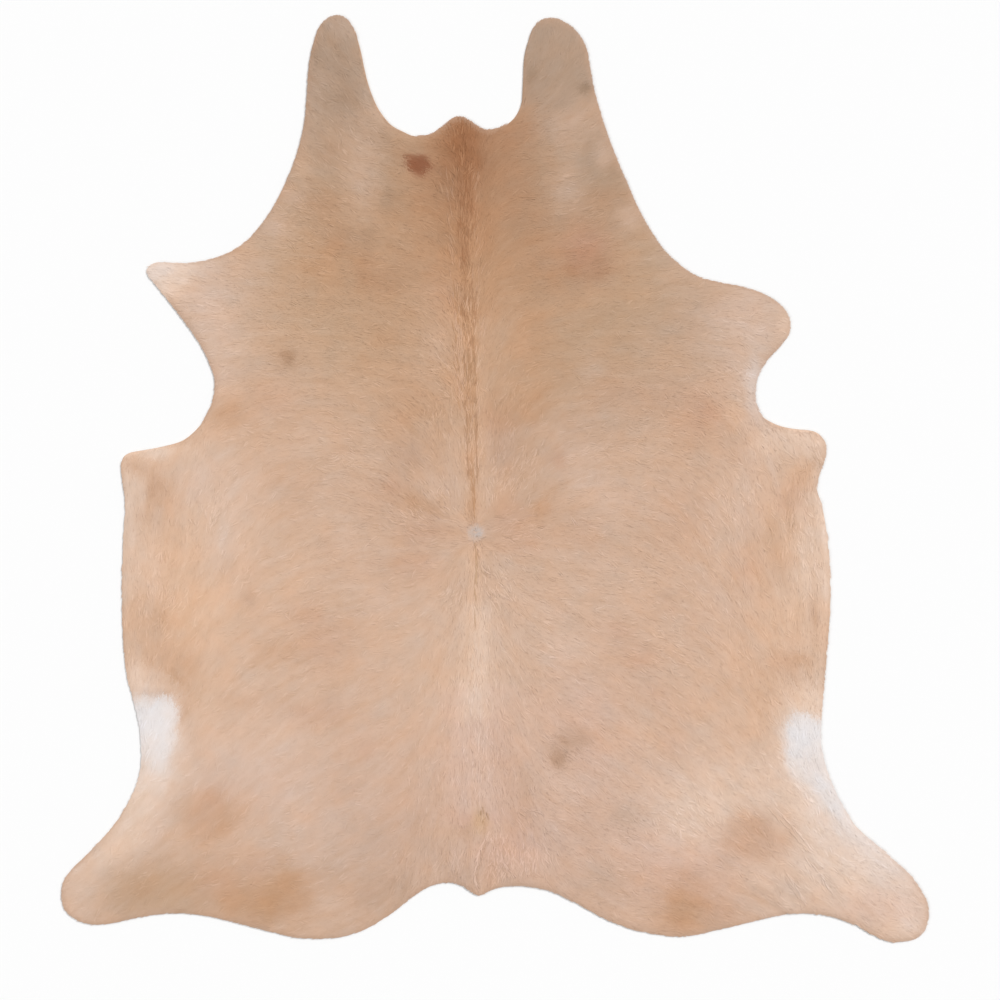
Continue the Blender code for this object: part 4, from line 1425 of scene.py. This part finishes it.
# Places where the tufts stand out, in centimetres: the middle, out and up, the half sizes, how many tufts,
# their turn against the coat's lie in degrees, their length in millimetres and how strongly they show.
TUFT_PLACES = (
    # out, up, across, along, tufts, turn, length, strength
    (9.6, 101, 7, 11, 75, 8, 22, 1.25),
    (10, 121, 6, 12, 50, 14, 22, 1.15),
    (10, 87.4, 6, 4, 34, 0, 26, 1.0),
    (-13.2, 90, 6, 6, 34, 12, 24, 1.0),
    (-9.5, 115, 2, 1.5, 8, 50, 20, 1.5),
    (-6, 124, 2.5, 7, 26, -6, 26, 1.2),
    (-6, 72, 2, 3.5, 12, 0, 22, 1.4),
    (5.5, 76.5, 3, 6, 30, 0, 20, 1.2),
    (-75.6, 71, 7, 10, 60, 0, 26, 1.1),
    (78, 87.6, 6, 12, 70, 0, 26, 1.1),
    (-37, 165, 8, 10, 40, 0, 22, 1.0),
    (27, 162, 8, 10, 40, 0, 22, 1.0),
    (-30, 106, 12, 8, 40, 0, 20, 1.0),
    (36, 107, 12, 8, 40, 0, 20, 1.0),
    (-62, 93, 8, 8, 40, 0, 22, 1.1),
    (60, 95, 9, 9, 40, 0, 22, 1.1),
    (0, 40, 7, 14, 60, 0, 22, 1.0),
    (-40, 66, 12, 8, 40, 0, 20, 0.9),
    (42, 60, 12, 9, 40, 0, 20, 0.9),
    (-48, 20, 12, 8, 30, 0, 18, 0.7),
    (52, 20, 12, 8, 26, 0, 20, 0.45),
    (80, 5, 12, 8, 26, 0, 22, 0.45),
    (7, 10.5, 4.5, 4, 48, -14, 24, 1.5),
    (13, 10.0, 4.5, 3.0, 48, -28, 24, 1.5),
    (5, 6, 4, 2.5, 10, 0, 24, 1.5),
    (-5, 9, 5, 5, 14, 0, 24, 1.0),
    (-80, 8, 10, 7, 30, 0, 20, 0.8),
)
PLACE_SPREAD = 0.5
PLACE_REACH = 1.2
FROM_EDGE = 4 * MILLIMETRE
chance = np.random.default_rng(84)
placed = []
for middle_out, middle_up, across, along, tufts, turn, long, strength in TUFT_PLACES:
    far_out = np.clip(chance.normal(0, PLACE_SPREAD, tufts), -PLACE_REACH, PLACE_REACH) * across
    far_up = np.clip(chance.normal(0, PLACE_SPREAD, tufts), -PLACE_REACH, PLACE_REACH) * along
    side = -1 if middle_out < 0 else 1
    for aside, ahead in zip(far_out, far_up):
        placed.append((middle_out + aside, middle_up + ahead, side * turn, long, strength))
out, up, turn, long, strength = np.array(placed).T
place_x = out * CENTIMETRE + BACKBONE_X
place_y = up * CENTIMETRE + TAIL_Y
kept = edge_distance(place_x, place_y) > FROM_EDGE
dress(
    tufted("coat_bright_tufts", place_x[kept], place_y[kept], np.radians(turn[kept]), long[kept] * MILLIMETRE,
           strength[kept], seed=85, rounding=0.28),
    hair_material("bright tuft hair", FULL_TONE)
)

# The mane and the backbone
# Longer, wavy hair, 24 to 44 mm, that runs up the neck in a narrow ridge of brown and fair strands, with two
# thin dark lines that meet above the whorl.
# Each line of strands, in centimetres: the heights between which it runs, its distance from the backbone at
# the top and at the bottom, how far strands scatter to the sides, strands for each centimetre, tone, colour,
# its share, and width in millimetres.
BACKBONE_LINES = (
    # top, bottom, aside at top, aside at bottom, scatter, number, tone, colour, share, width
    (183, 130, -1.2, -0.9, 1.3, 1.0, 0.10, "tan", 0.20, 2.4),
    (183, 130, 0.8, 0.5, 1.3, 1.0, 0.10, "tan", 0.20, 2.4),
    (186, 130, -0.6, -0.4, 1.0, 0.9, -0.07, "bark", 0.30, 2.4),
    (186, 130, 1.2, 0.7, 1.0, 0.9, -0.07, "bark", 0.30, 2.4),
    (178, 100, 0.0, 0.0, 0.5, 0.8, -0.05, "bark", 0.15, 2.2),
    (172, 120, -3.0, -1.8, 1.0, 0.9, 0.09, "sand", 0.2, 2.4),
    (172, 120, 3.0, 2.0, 1.0, 0.9, 0.07, "sand", 0.2, 2.4),
    (147, 118, -3.0, -2.2, 1.0, 1.0, 0.05, "sand", 0.4, 2.4),
    (146, 114, -2.8, -2.0, 1.0, 1.1, -0.05, "tan", 0.5, 2.2),
    (143, 98, -1.3, -0.9, 0.2, 1.0, -0.07, "bark", 0.25, 2.0),
    (143, 98, 1.3, 0.9, 0.2, 1.0, -0.07, "bark", 0.25, 2.0),
    (143, 98, 0.0, 0.0, 0.7, 1.2, 0.11, "peach", 0.3, 1.9),
    (140, 96, -1.7, -1.4, 0.4, 0.9, 0.07, "peach", 0.3, 1.9),
    (140, 96, 1.7, 1.4, 0.4, 0.9, 0.07, "peach", 0.3, 1.9),
    (101, 90, -0.30, 0.0, 0.14, 1.0, -0.04, "tan", 0.6, 1.8),
    (101, 90, 0.30, 0.0, 0.14, 1.0, -0.04, "tan", 0.6, 1.8),
    (86, 66, 0.1, 0.0, 0.10, 1.3, -0.08, "olive", 0.5, 1.6),
    (86, 50, 1.1, 1.0, 0.5, 1.0, 0.035, "peach", 0.3, 2.4),
    (86, 50, -1.1, -1.0, 0.5, 1.0, 0.035, "peach", 0.3, 2.4),
    (60, 22, 0.0, 0.0, 1.6, 0.8, 0.06, "cream", 0.2, 2.2),
)
# Two waves that a line makes around the backbone: how far in centimetres, how fast, and their shift from line
# to line. Then how strands spread over the scatter, how they turn away from the backbone, in degrees for each
# centimetre aside, and how they stray and bend; their length in millimetres, and the spreads of width, tone
# and lift.
LINE_WAVES = ((0.12, 1.1, 1), (0.08, 2.7, 2))
LINE_SPREAD = 0.5
LINE_TURN = 4.5
LINE_TURN_REACH = 4
LINE_STRAY = 4
LINE_BEND = 12
LINE_LENGTH = (24, 44)
LINE_WIDTH_SPREAD = (0.8, 1.2)
TONE_SPREAD = (0.6, 1.3)
LINE_LIFT = (1.15, 1.7)
FIRST_LINE_SEED = 900
backbone_heights = np.array([up for _, up in BACKBONE])[::-1]
backbone_outs = np.array([out for out, _ in BACKBONE])[::-1]
line_strands = []
line_dyes = []
for row, line in enumerate(BACKBONE_LINES):
    top, bottom, top_aside, bottom_aside, scatter, number, tone, dye, share, wide = line
    chance = np.random.default_rng(FIRST_LINE_SEED + row)
    count = int((top - bottom) * number)
    up = chance.uniform(bottom, top, count)
    part = (up - bottom) / (top - bottom)
    aside = bottom_aside + (top_aside - bottom_aside) * part
    aside += np.clip(chance.normal(0, LINE_SPREAD, count), -1, 1) * scatter
    wave = sum(swing * np.sin(up * speed + shift * row) for swing, speed, shift in LINE_WAVES)
    out = np.interp(up, backbone_heights, backbone_outs) + aside + wave
    upward = np.where(up > WHORL_SPOT[1], 1.0, -1.0)
    away = np.clip(aside, -LINE_TURN_REACH, LINE_TURN_REACH) * LINE_TURN
    line_strands.append(np.stack([
        out * CENTIMETRE + BACKBONE_X,
        up * CENTIMETRE + TAIL_Y,
        np.radians(upward * 90 - upward * away + chance.normal(0, LINE_STRAY, count)),
        np.radians(chance.normal(0, LINE_BEND, count)),
        chance.uniform(*LINE_LENGTH, count) * MILLIMETRE,
        wide * MILLIMETRE * chance.uniform(*LINE_WIDTH_SPREAD, count),
        tone * chance.uniform(*TONE_SPREAD, count),
        chance.uniform(*LINE_LIFT, count),
        np.full(count, share),
    ]))
    line_dyes += [dye] * count
line_strands = np.concatenate(line_strands, axis=1)
kept = edge_distance(line_strands[0], line_strands[1]) > FROM_EDGE
x, y, angle, bend, long, wide, tone, lift, share = line_strands[:, kept]
dress(
    strands("backbone_strands", x, y, angle, bend, long, wide, tone, lift, seed=950,
            dye=np.array(line_dyes)[kept], dye_share=share, rounding=0.3),
    hair_material("backbone hair", FULL_TONE)
)

# The strands that stand out
# Long wisps of the mane, the shoulders, the whorl's surroundings, the flanks and the tail: bright ones,
# lighter hair with painted highlight, and darker ones, of which those that lie beside a bright one are its
# painted shadow. Each is a few hairs that cling together and lie on the coat.
WISPS = (
    # out, up, direction in degrees, length and width in millimetres, bend, tone
    # mane
    (-7.7, 168.0, 100, 48, 2.4, 22, 0.17),
    (-8.4, 168.2, 104, 44, 2.2, 22, -0.14),
    (-8.0, 172.3, 101, 20, 2.0, 8, 0.15),
    (-6.6, 167.5, 112, 16, 1.8, 10, 0.15),
    (-3.1, 171.3, 66, 46, 2.8, -16, -0.22),
    (-2.1, 172.5, 60, 30, 2.2, -10, 0.20),
    (-2.9, 172.9, 44, 15, 1.8, 0, 0.16),
    (-2.7, 169.9, 78, 24, 2.2, -6, -0.16),
    (-3.0, 169.3, 90, 32, 2.0, -8, 0.16),
    (-4.9, 170.3, 90, 13, 1.8, 4, 0.12),
    (-1.9, 164.0, 80, 25, 2.2, 6, -0.14),
    (-0.7, 163.2, 95, 25, 2.0, -8, -0.12),
    (-1.3, 163.4, 88, 22, 1.8, 4, 0.14),
    (-3.7, 161.4, 140, 19, 1.8, -12, 0.16),
    (-6.6, 160.8, 90, 15, 1.8, 6, 0.14),
    (-3.1, 158.2, 82, 42, 2.4, -8, -0.20),
    (-3.4, 158.4, 84, 28, 1.9, -6, 0.16),
    (-0.9, 156.5, 88, 30, 2.0, 6, -0.12),
    (-5.7, 157.4, 134, 29, 1.9, 14, 0.17),
    (-5.9, 157.9, 126, 22, 1.8, 10, -0.12),
    (-2.0, 147.6, 74, 32, 2.2, -8, 0.24),
    (-1.3, 147.9, 80, 29, 2.0, -6, -0.22),
    (-3.1, 147.2, 66, 27, 2.0, 6, -0.18),
    (-1.3, 151.0, 92, 23, 1.9, -4, -0.16),
    (-2.7, 145.2, 114, 17, 1.8, 8, 0.18),
    (-3.2, 144.6, 92, 18, 1.8, -4, -0.16),
    (-3.8, 138.2, 97, 25, 1.9, 6, 0.16),
    (-1.1, 137.8, 98, 29, 1.9, -6, 0.18),
    (-1.6, 138.0, 96, 24, 1.8, -6, -0.12),
    (0.4, 153.6, 55, 12, 1.8, 0, 0.16),
    (1.6, 157.0, 62, 18, 1.8, 10, 0.12),
    (2.4, 163.0, 40, 20, 1.8, -10, -0.10),
    # the two lines between the shoulders
    (-1.1, 127.6, 75, 26, 2.0, -6, 0.22),
    (-2.0, 125.7, 66, 31, 2.2, 8, -0.20),
    (0.2, 127.8, 95, 19, 1.8, 0, -0.16),
    (-1.6, 123.2, 74, 18, 2.0, -4, -0.20),
    (-0.9, 123.7, 74, 20, 2.0, -4, 0.20),
    (-4.4, 129.6, 112, 19, 1.9, 8, 0.17),
    (-2.9, 130.3, 92, 21, 1.8, -4, 0.17),
    (-3.5, 123.7, 114, 19, 1.9, 8, 0.17),
    (-5.5, 119.7, 176, 38, 2.0, 6, 0.16),
    (-5.6, 119.3, 172, 34, 1.8, 12, -0.10),
    (2.1, 130.3, 58, 14, 1.8, -6, 0.15),
    (6.6, 124.1, 52, 21, 1.9, 8, 0.16),
    (5.7, 118.6, 48, 28, 2.0, 10, 0.20),
    (5.9, 118.3, 46, 24, 1.8, 10, -0.10),
    (-0.1, 118.0, 90, 13, 2.0, 0, -0.24),
    (-2.0, 115.5, 54, 14, 1.8, 0, 0.15),
    (-0.3, 112.9, 91, 27, 1.9, -4, 0.19),
    (0.1, 112.9, 91, 25, 1.8, -4, -0.16),
    (-1.1, 109.2, 80, 27, 1.9, -4, 0.16),
    (-1.5, 108.4, 84, 22, 1.8, 4, -0.15),
    # around the whorl
    (13.9, 104.9, 60, 31, 2.2, 12, 0.20),
    (14.3, 104.8, 60, 28, 1.9, 12, -0.12),
    (12.0, 103.5, 52, 22, 2.0, -10, 0.16),
    (10.6, 92.6, 22, 16, 2.0, 8, 0.18),
    (8.3, 96.5, 50, 22, 2.0, 10, 0.17),
    (9.0, 99.5, 66, 20, 2.0, -12, 0.16),
    (6.5, 101.0, 70, 22, 1.9, -8, 0.16),
    (7.1, 100.8, 70, 20, 1.8, -8, -0.12),
    (23.1, 90.7, -45, 31, 2.1, -16, 0.20),
    (-6.0, 95.7, 106, 27, 2.0, 10, 0.19),
    (-5.6, 95.5, 106, 25, 1.8, 10, -0.12),
    (-5.7, 92.3, 138, 27, 2.0, 12, 0.16),
    (-14.8, 91.1, 112, 21, 2.0, 10, 0.19),
    (-12.7, 90.8, 130, 23, 2.0, 10, 0.17),
    (-12.3, 90.5, 130, 21, 1.8, 10, -0.12),
    (-8.2, 87.7, 178, 36, 2.6, 14, -0.08),
    (3.8, 91.1, 4, 34, 2.4, -14, -0.07),
    (6.0, 86.5, 2, 38, 2.6, -12, -0.09),
    (14.5, 88.6, 0, 26, 2.4, -12, -0.07),
    (-3.2, 72.7, -106, 31, 2.1, -10, 0.20),
    (-2.8, 72.3, -108, 29, 1.9, -10, -0.16),
    (-3.4, 76.0, -112, 22, 1.9, -8, 0.16),
    (0.5, 82.8, -68, 21, 1.9, 10, -0.20),
    (1.7, 78.2, -56, 32, 2.0, 10, -0.13),
    (2.1, 78.4, -52, 28, 1.8, 10, 0.15),
    (5.4, 73.0, -36, 45, 2.0, -6, 0.15),
    (2.6, 73.4, -66, 30, 1.9, 12, 0.14),
    # left flank and its fold
    (-75.2, 83.0, -98, 34, 2.2, 10, 0.18),
    (-74.6, 83.0, -98, 32, 2.0, 10, -0.12),
    (-78.4, 76.0, -84, 30, 2.2, -10, 0.18),
    (-72.0, 72.5, -104, 28, 2.1, 8, 0.16),
    # right armpit and flank
    (79.0, 93.0, -84, 34, 2.2, 8, 0.16),
    (76.0, 90.0, -96, 30, 2.1, -8, 0.16),
    (76.6, 90.0, -96, 28, 1.9, -8, -0.12),
    (82.0, 81.0, -90, 32, 2.2, 6, 0.16),
    (82.6, 104.8, -70, 22, 2.2, 10, -0.20),
    (79.9, 102.3, 200, 18, 2.6, 0, -0.16),
    # tail
    (1.9, 21.6, -92, 16, 1.8, 30, -0.34),
    (1.4, 20.4, -70, 14, 1.8, -30, -0.32),
    (2.9, 19.8, -84, 18, 1.8, 20, -0.30),
    (2.2, 18.6, -100, 14, 1.8, -24, -0.26),
    (1.8, 19.8, -96, 22, 2.4, 10, 0.16),
    (10.6, 21.4, -30, 34, 2.8, -16, 0.07),
    (10.2, 20.4, -26, 36, 2.6, -18, -0.07),
    (0.9, 1.6, -70, 16, 2.2, 6, 0.20),
)
# Long locks of the tail and the right hind shank: how many strands, their tone, width and length in
# millimetres, and the places that the lock runs by, in centimetres.
# A lock whose tone is below zero lies just beside a bright one as its painted shadow.
LONG_LOCKS = (
    (24, 0.13, 3.2, 26, ((3.6, 15.8), (2.4, 13.4), (1.3, 11.2), (0.7, 8.6), (-0.1, 6.0), (0.2, 3.0))),
    (18, -0.09, 3.0, 24, ((4.3, 15.4), (3.1, 13.0), (2.0, 10.8), (1.4, 8.2), (0.6, 5.8), (0.9, 3.6))),
    (8, 0.10, 3.2, 20, ((7.0, 8.6), (7.9, 6.6), (9.4, 5.0))),
    (8, -0.07, 3.0, 20, ((6.0, 8.4), (6.8, 6.4), (8.0, 4.6))),
    (8, 0.07, 3.2, 24, ((-4.4, 12.0), (-5.0, 9.0), (-5.2, 6.4))),
    (10, 0.05, 3.0, 22, ((10.4, 22.0), (12.6, 20.8), (14.6, 20.4))),
    (20, 0.10, 3.6, 28, ((71.5, 21.4), (76.0, 17.2), (80.4, 11.8))),
    (14, -0.035, 3.4, 28, ((70.8, 20.6), (75.2, 16.4), (79.6, 11.0))),
    (14, 0.10, 3.6, 26, ((74.6, 6.0), (77.0, 2.4), (78.8, -1.0))),
    (10, -0.035, 3.2, 26, ((73.9, 5.5), (76.2, 1.9), (78.0, -1.4))),
    (12, 0.08, 3.6, 26, ((79.0, 9.4), (82.5, 5.6), (85.0, 2.0))),
)
# A wisp is a bundle of three strands, of these shares of its tone, a little apart and staggered.
BUNDLE_TONES = (0.85, 0.5, 0.65)
BUNDLE_GAP = 0.6
BUNDLE_WIDTH = 1.15
BUNDLE_LENGTH_SPREAD = (0.7, 1.05)
BUNDLE_SCATTER = 0.3
BUNDLE_STAGGER = 3
BUNDLE_STRAY = 4
BUNDLE_BEND = 10
LONG_LOCK_LENGTH_SPREAD = (0.7, 1.2)
LONG_LOCK_WIDTH_SPREAD = (0.7, 1.1)
LONG_LOCK_STAGGER = 0.3
LONG_LOCK_SCATTER = 0.8
LONG_LOCK_STRAY = 6
LONG_LOCK_BEND = 14
WISP_LIFT = (1.5, 2.0)
IN_MILLIMETRES = 10
chance = np.random.default_rng(91)
wisps = []
for out, up, degrees, long, wide, bend, tone in WISPS:
    for order, tone_share in enumerate(BUNDLE_TONES):
        aside = (order - 1) * BUNDLE_GAP * wide + chance.normal(0, BUNDLE_SCATTER)
        ahead = chance.normal(0, BUNDLE_STAGGER)
        way = math.radians(degrees)
        wisps.append((
            out * IN_MILLIMETRES - math.sin(way) * aside + math.cos(way) * ahead,
            up * IN_MILLIMETRES + math.cos(way) * aside + math.sin(way) * ahead,
            degrees + chance.normal(0, BUNDLE_STRAY),
            long * chance.uniform(*BUNDLE_LENGTH_SPREAD),
            wide * BUNDLE_WIDTH,
            bend + chance.normal(0, BUNDLE_BEND),
            tone * tone_share,
        ))
for number, tone, wide, long, path in LONG_LOCKS:
    for order in range(number):
        stagger = chance.uniform(-LONG_LOCK_STAGGER, LONG_LOCK_STAGGER)
        share = (order + stagger) / number * (len(path) - 1)
        part = min(len(path) - 2, max(0, int(share)))
        (x0, y0), (x1, y1) = path[part], path[part + 1]
        share -= part
        wisps.append((
            IN_MILLIMETRES * (x0 + (x1 - x0) * share) + chance.normal(0, LONG_LOCK_SCATTER),
            IN_MILLIMETRES * (y0 + (y1 - y0) * share) + chance.normal(0, LONG_LOCK_SCATTER),
            math.degrees(math.atan2(y1 - y0, x1 - x0)) + chance.normal(0, LONG_LOCK_STRAY),
            long * chance.uniform(*LONG_LOCK_LENGTH_SPREAD),
            wide * chance.uniform(*LONG_LOCK_WIDTH_SPREAD),
            chance.normal(0, LONG_LOCK_BEND),
            tone * chance.uniform(*TONE_SPREAD),
        ))
out, up, degrees, long, wide, bend, tone = np.array(wisps).T
dress(
    strands("wisps", out * MILLIMETRE + BACKBONE_X, up * MILLIMETRE + TAIL_Y, np.radians(degrees),
            np.radians(bend), long * MILLIMETRE, wide * MILLIMETRE, tone,
            chance.uniform(*WISP_LIFT, len(wisps)), seed=90, rounding=0.3),
    hair_material("wisp hair", FULL_TONE)
)

# The whorl
# Short pale grey hair in a small spiral on the backbone, between the back and the loin, where all directions
# of the coat meet.
WHORL_HAIRS = 260
WHORL_RING = 1.5
WHORL_TURN = math.radians(55)
WHORL_BEND = math.radians(-35)
WHORL_LENGTH = (9, 15)
WHORL_WIDTH = 2.8 * MILLIMETRE
WHORL_TONE = 0.01
WHORL_TONE_SWING = 0.025
WHORL_LIFT = (1.0, 1.5)
WHORL_GREY = (0.4, 0.9)
WHORL_FADE = 4
chance = np.random.default_rng(86)
ring = WHORL_RING * np.sqrt(chance.uniform(0, 1, WHORL_HAIRS))
around = chance.uniform(0, 2 * math.pi, WHORL_HAIRS)
whorl_x = (WHORL_SPOT[0] + ring * np.cos(around)) * CENTIMETRE + BACKBONE_X
whorl_y = (WHORL_SPOT[1] + ring * np.sin(around)) * CENTIMETRE + TAIL_Y
dress(
    strands("whorl", whorl_x, whorl_y, around + WHORL_TURN, np.full(WHORL_HAIRS, WHORL_BEND),
            chance.uniform(*WHORL_LENGTH, WHORL_HAIRS) * MILLIMETRE, np.full(WHORL_HAIRS, WHORL_WIDTH),
            chance.normal(WHORL_TONE, WHORL_TONE_SWING, WHORL_HAIRS),
            chance.uniform(*WHORL_LIFT, WHORL_HAIRS), seed=87, dye="ash",
            dye_share=chance.uniform(*WHORL_GREY, WHORL_HAIRS) / (1 + (ring / WHORL_REACH) ** WHORL_FADE)),
    hair_material("whorl hair", FULL_TONE)
)

# The loose hair at the edge
# Thin single hairs of the coat that hang unevenly over the trimmed edge, all the way round. They grow from
# the outer centimetre of the skin.
EDGE_HAIRS = 1500
EDGE_SCATTER = 6
EDGE_BAND = (2 * MILLIMETRE, 12 * MILLIMETRE)
EDGE_STRAY = 14
EDGE_BEND = 20
EDGE_LENGTH = (9, 18)
EDGE_WIDTH = (0.8, 1.6)
EDGE_TONE = -0.02
EDGE_TONE_SWING = 0.07
EDGE_LIFT = (0.9, 1.4)
EDGE_OVERHANG = 5 * MILLIMETRE
chance = np.random.default_rng(88)
chosen = chance.integers(0, len(outline), EDGE_HAIRS)
edge_x = outline[chosen, 0] + chance.normal(0, EDGE_SCATTER, EDGE_HAIRS) * MILLIMETRE
edge_y = outline[chosen, 1] + chance.normal(0, EDGE_SCATTER, EDGE_HAIRS) * MILLIMETRE
far_in = edge_distance(edge_x, edge_y)
kept = (far_in > EDGE_BAND[0]) & (far_in < EDGE_BAND[1])
edge_x, edge_y = edge_x[kept], edge_y[kept]
hairs = len(edge_x)
dress(
    strands("edge_hair", edge_x, edge_y,
            lie_at(edge_x, edge_y) + np.radians(chance.normal(0, EDGE_STRAY, hairs)),
            np.radians(chance.normal(0, EDGE_BEND, hairs)), chance.uniform(*EDGE_LENGTH, hairs) * MILLIMETRE,
            chance.uniform(*EDGE_WIDTH, hairs) * MILLIMETRE, chance.normal(EDGE_TONE, EDGE_TONE_SWING, hairs),
            chance.uniform(*EDGE_LIFT, hairs), seed=89, overhang=EDGE_OVERHANG),
    hair_material("edge hair", FULL_TONE)
)

# The floor
# A plain matt white studio floor, which the skin lies on with all its weight and which isn't part of it. The
# coat goes with the skin.
FLOOR_SIZE = 40.0
bpy.ops.mesh.primitive_plane_add(size=FLOOR_SIZE, location=(0, 0, -0.1 * MILLIMETRE))
floor = bpy.context.object
floor.name = "floor"
floor_material, _, _ = new_material(
    "floor", Base_Color=(0.92, 0.92, 0.92, 1), Roughness=0.9, Specular_IOR_Level=0.1)
floor.data.materials.append(floor_material)

# The light
# Even studio light: a broad soft key from the upper right, a weaker fill from the left, and pale
# surroundings.
SURROUNDINGS = 0.34


def lamp(name, place, spread, strength):
    """A far, broad and even light that shines from the place towards the rug."""
    made = bpy.data.objects.new(name, bpy.data.lights.new(name, "SUN"))
    made.data.angle = math.radians(spread)
    made.data.energy = strength
    made.location = place
    made.rotation_euler = (-Vector(place)).to_track_quat("-Z", "Y").to_euler()
    bpy.context.scene.collection.objects.link(made)


lamp("key", (4.2, 3.8, 5.6), 30, 2.345)
lamp("fill", (-5.0, -2.0, 5.0), 50, 0.95)
world = bpy.data.worlds.new("surroundings")
bpy.context.scene.world = world
world.use_nodes = True
world.node_tree.nodes["Background"].inputs["Color"].default_value = (1.0, 1.0, 1.0, 1)
world.node_tree.nodes["Background"].inputs["Strength"].default_value = SURROUNDINGS
bpy.context.scene.view_settings.view_transform = "Standard"

# The camera
# Straight above the middle of the rug, looking straight down, with the whole outline in view and a little
# room on every side.
LENS = 70.0
SENSOR = 36.0
FIELD = 2.40
VIEW_MIDDLE = (0.0115, -0.0516)
camera_data = bpy.data.cameras.new("camera")
camera_data.lens = LENS
camera_data.sensor_width = SENSOR
camera = bpy.data.objects.new("camera", camera_data)
camera.location = (VIEW_MIDDLE[0], VIEW_MIDDLE[1], FIELD * LENS / SENSOR + SKIN_THICKNESS + COAT_DEPTH)
bpy.context.scene.collection.objects.link(camera)
bpy.context.scene.camera = camera
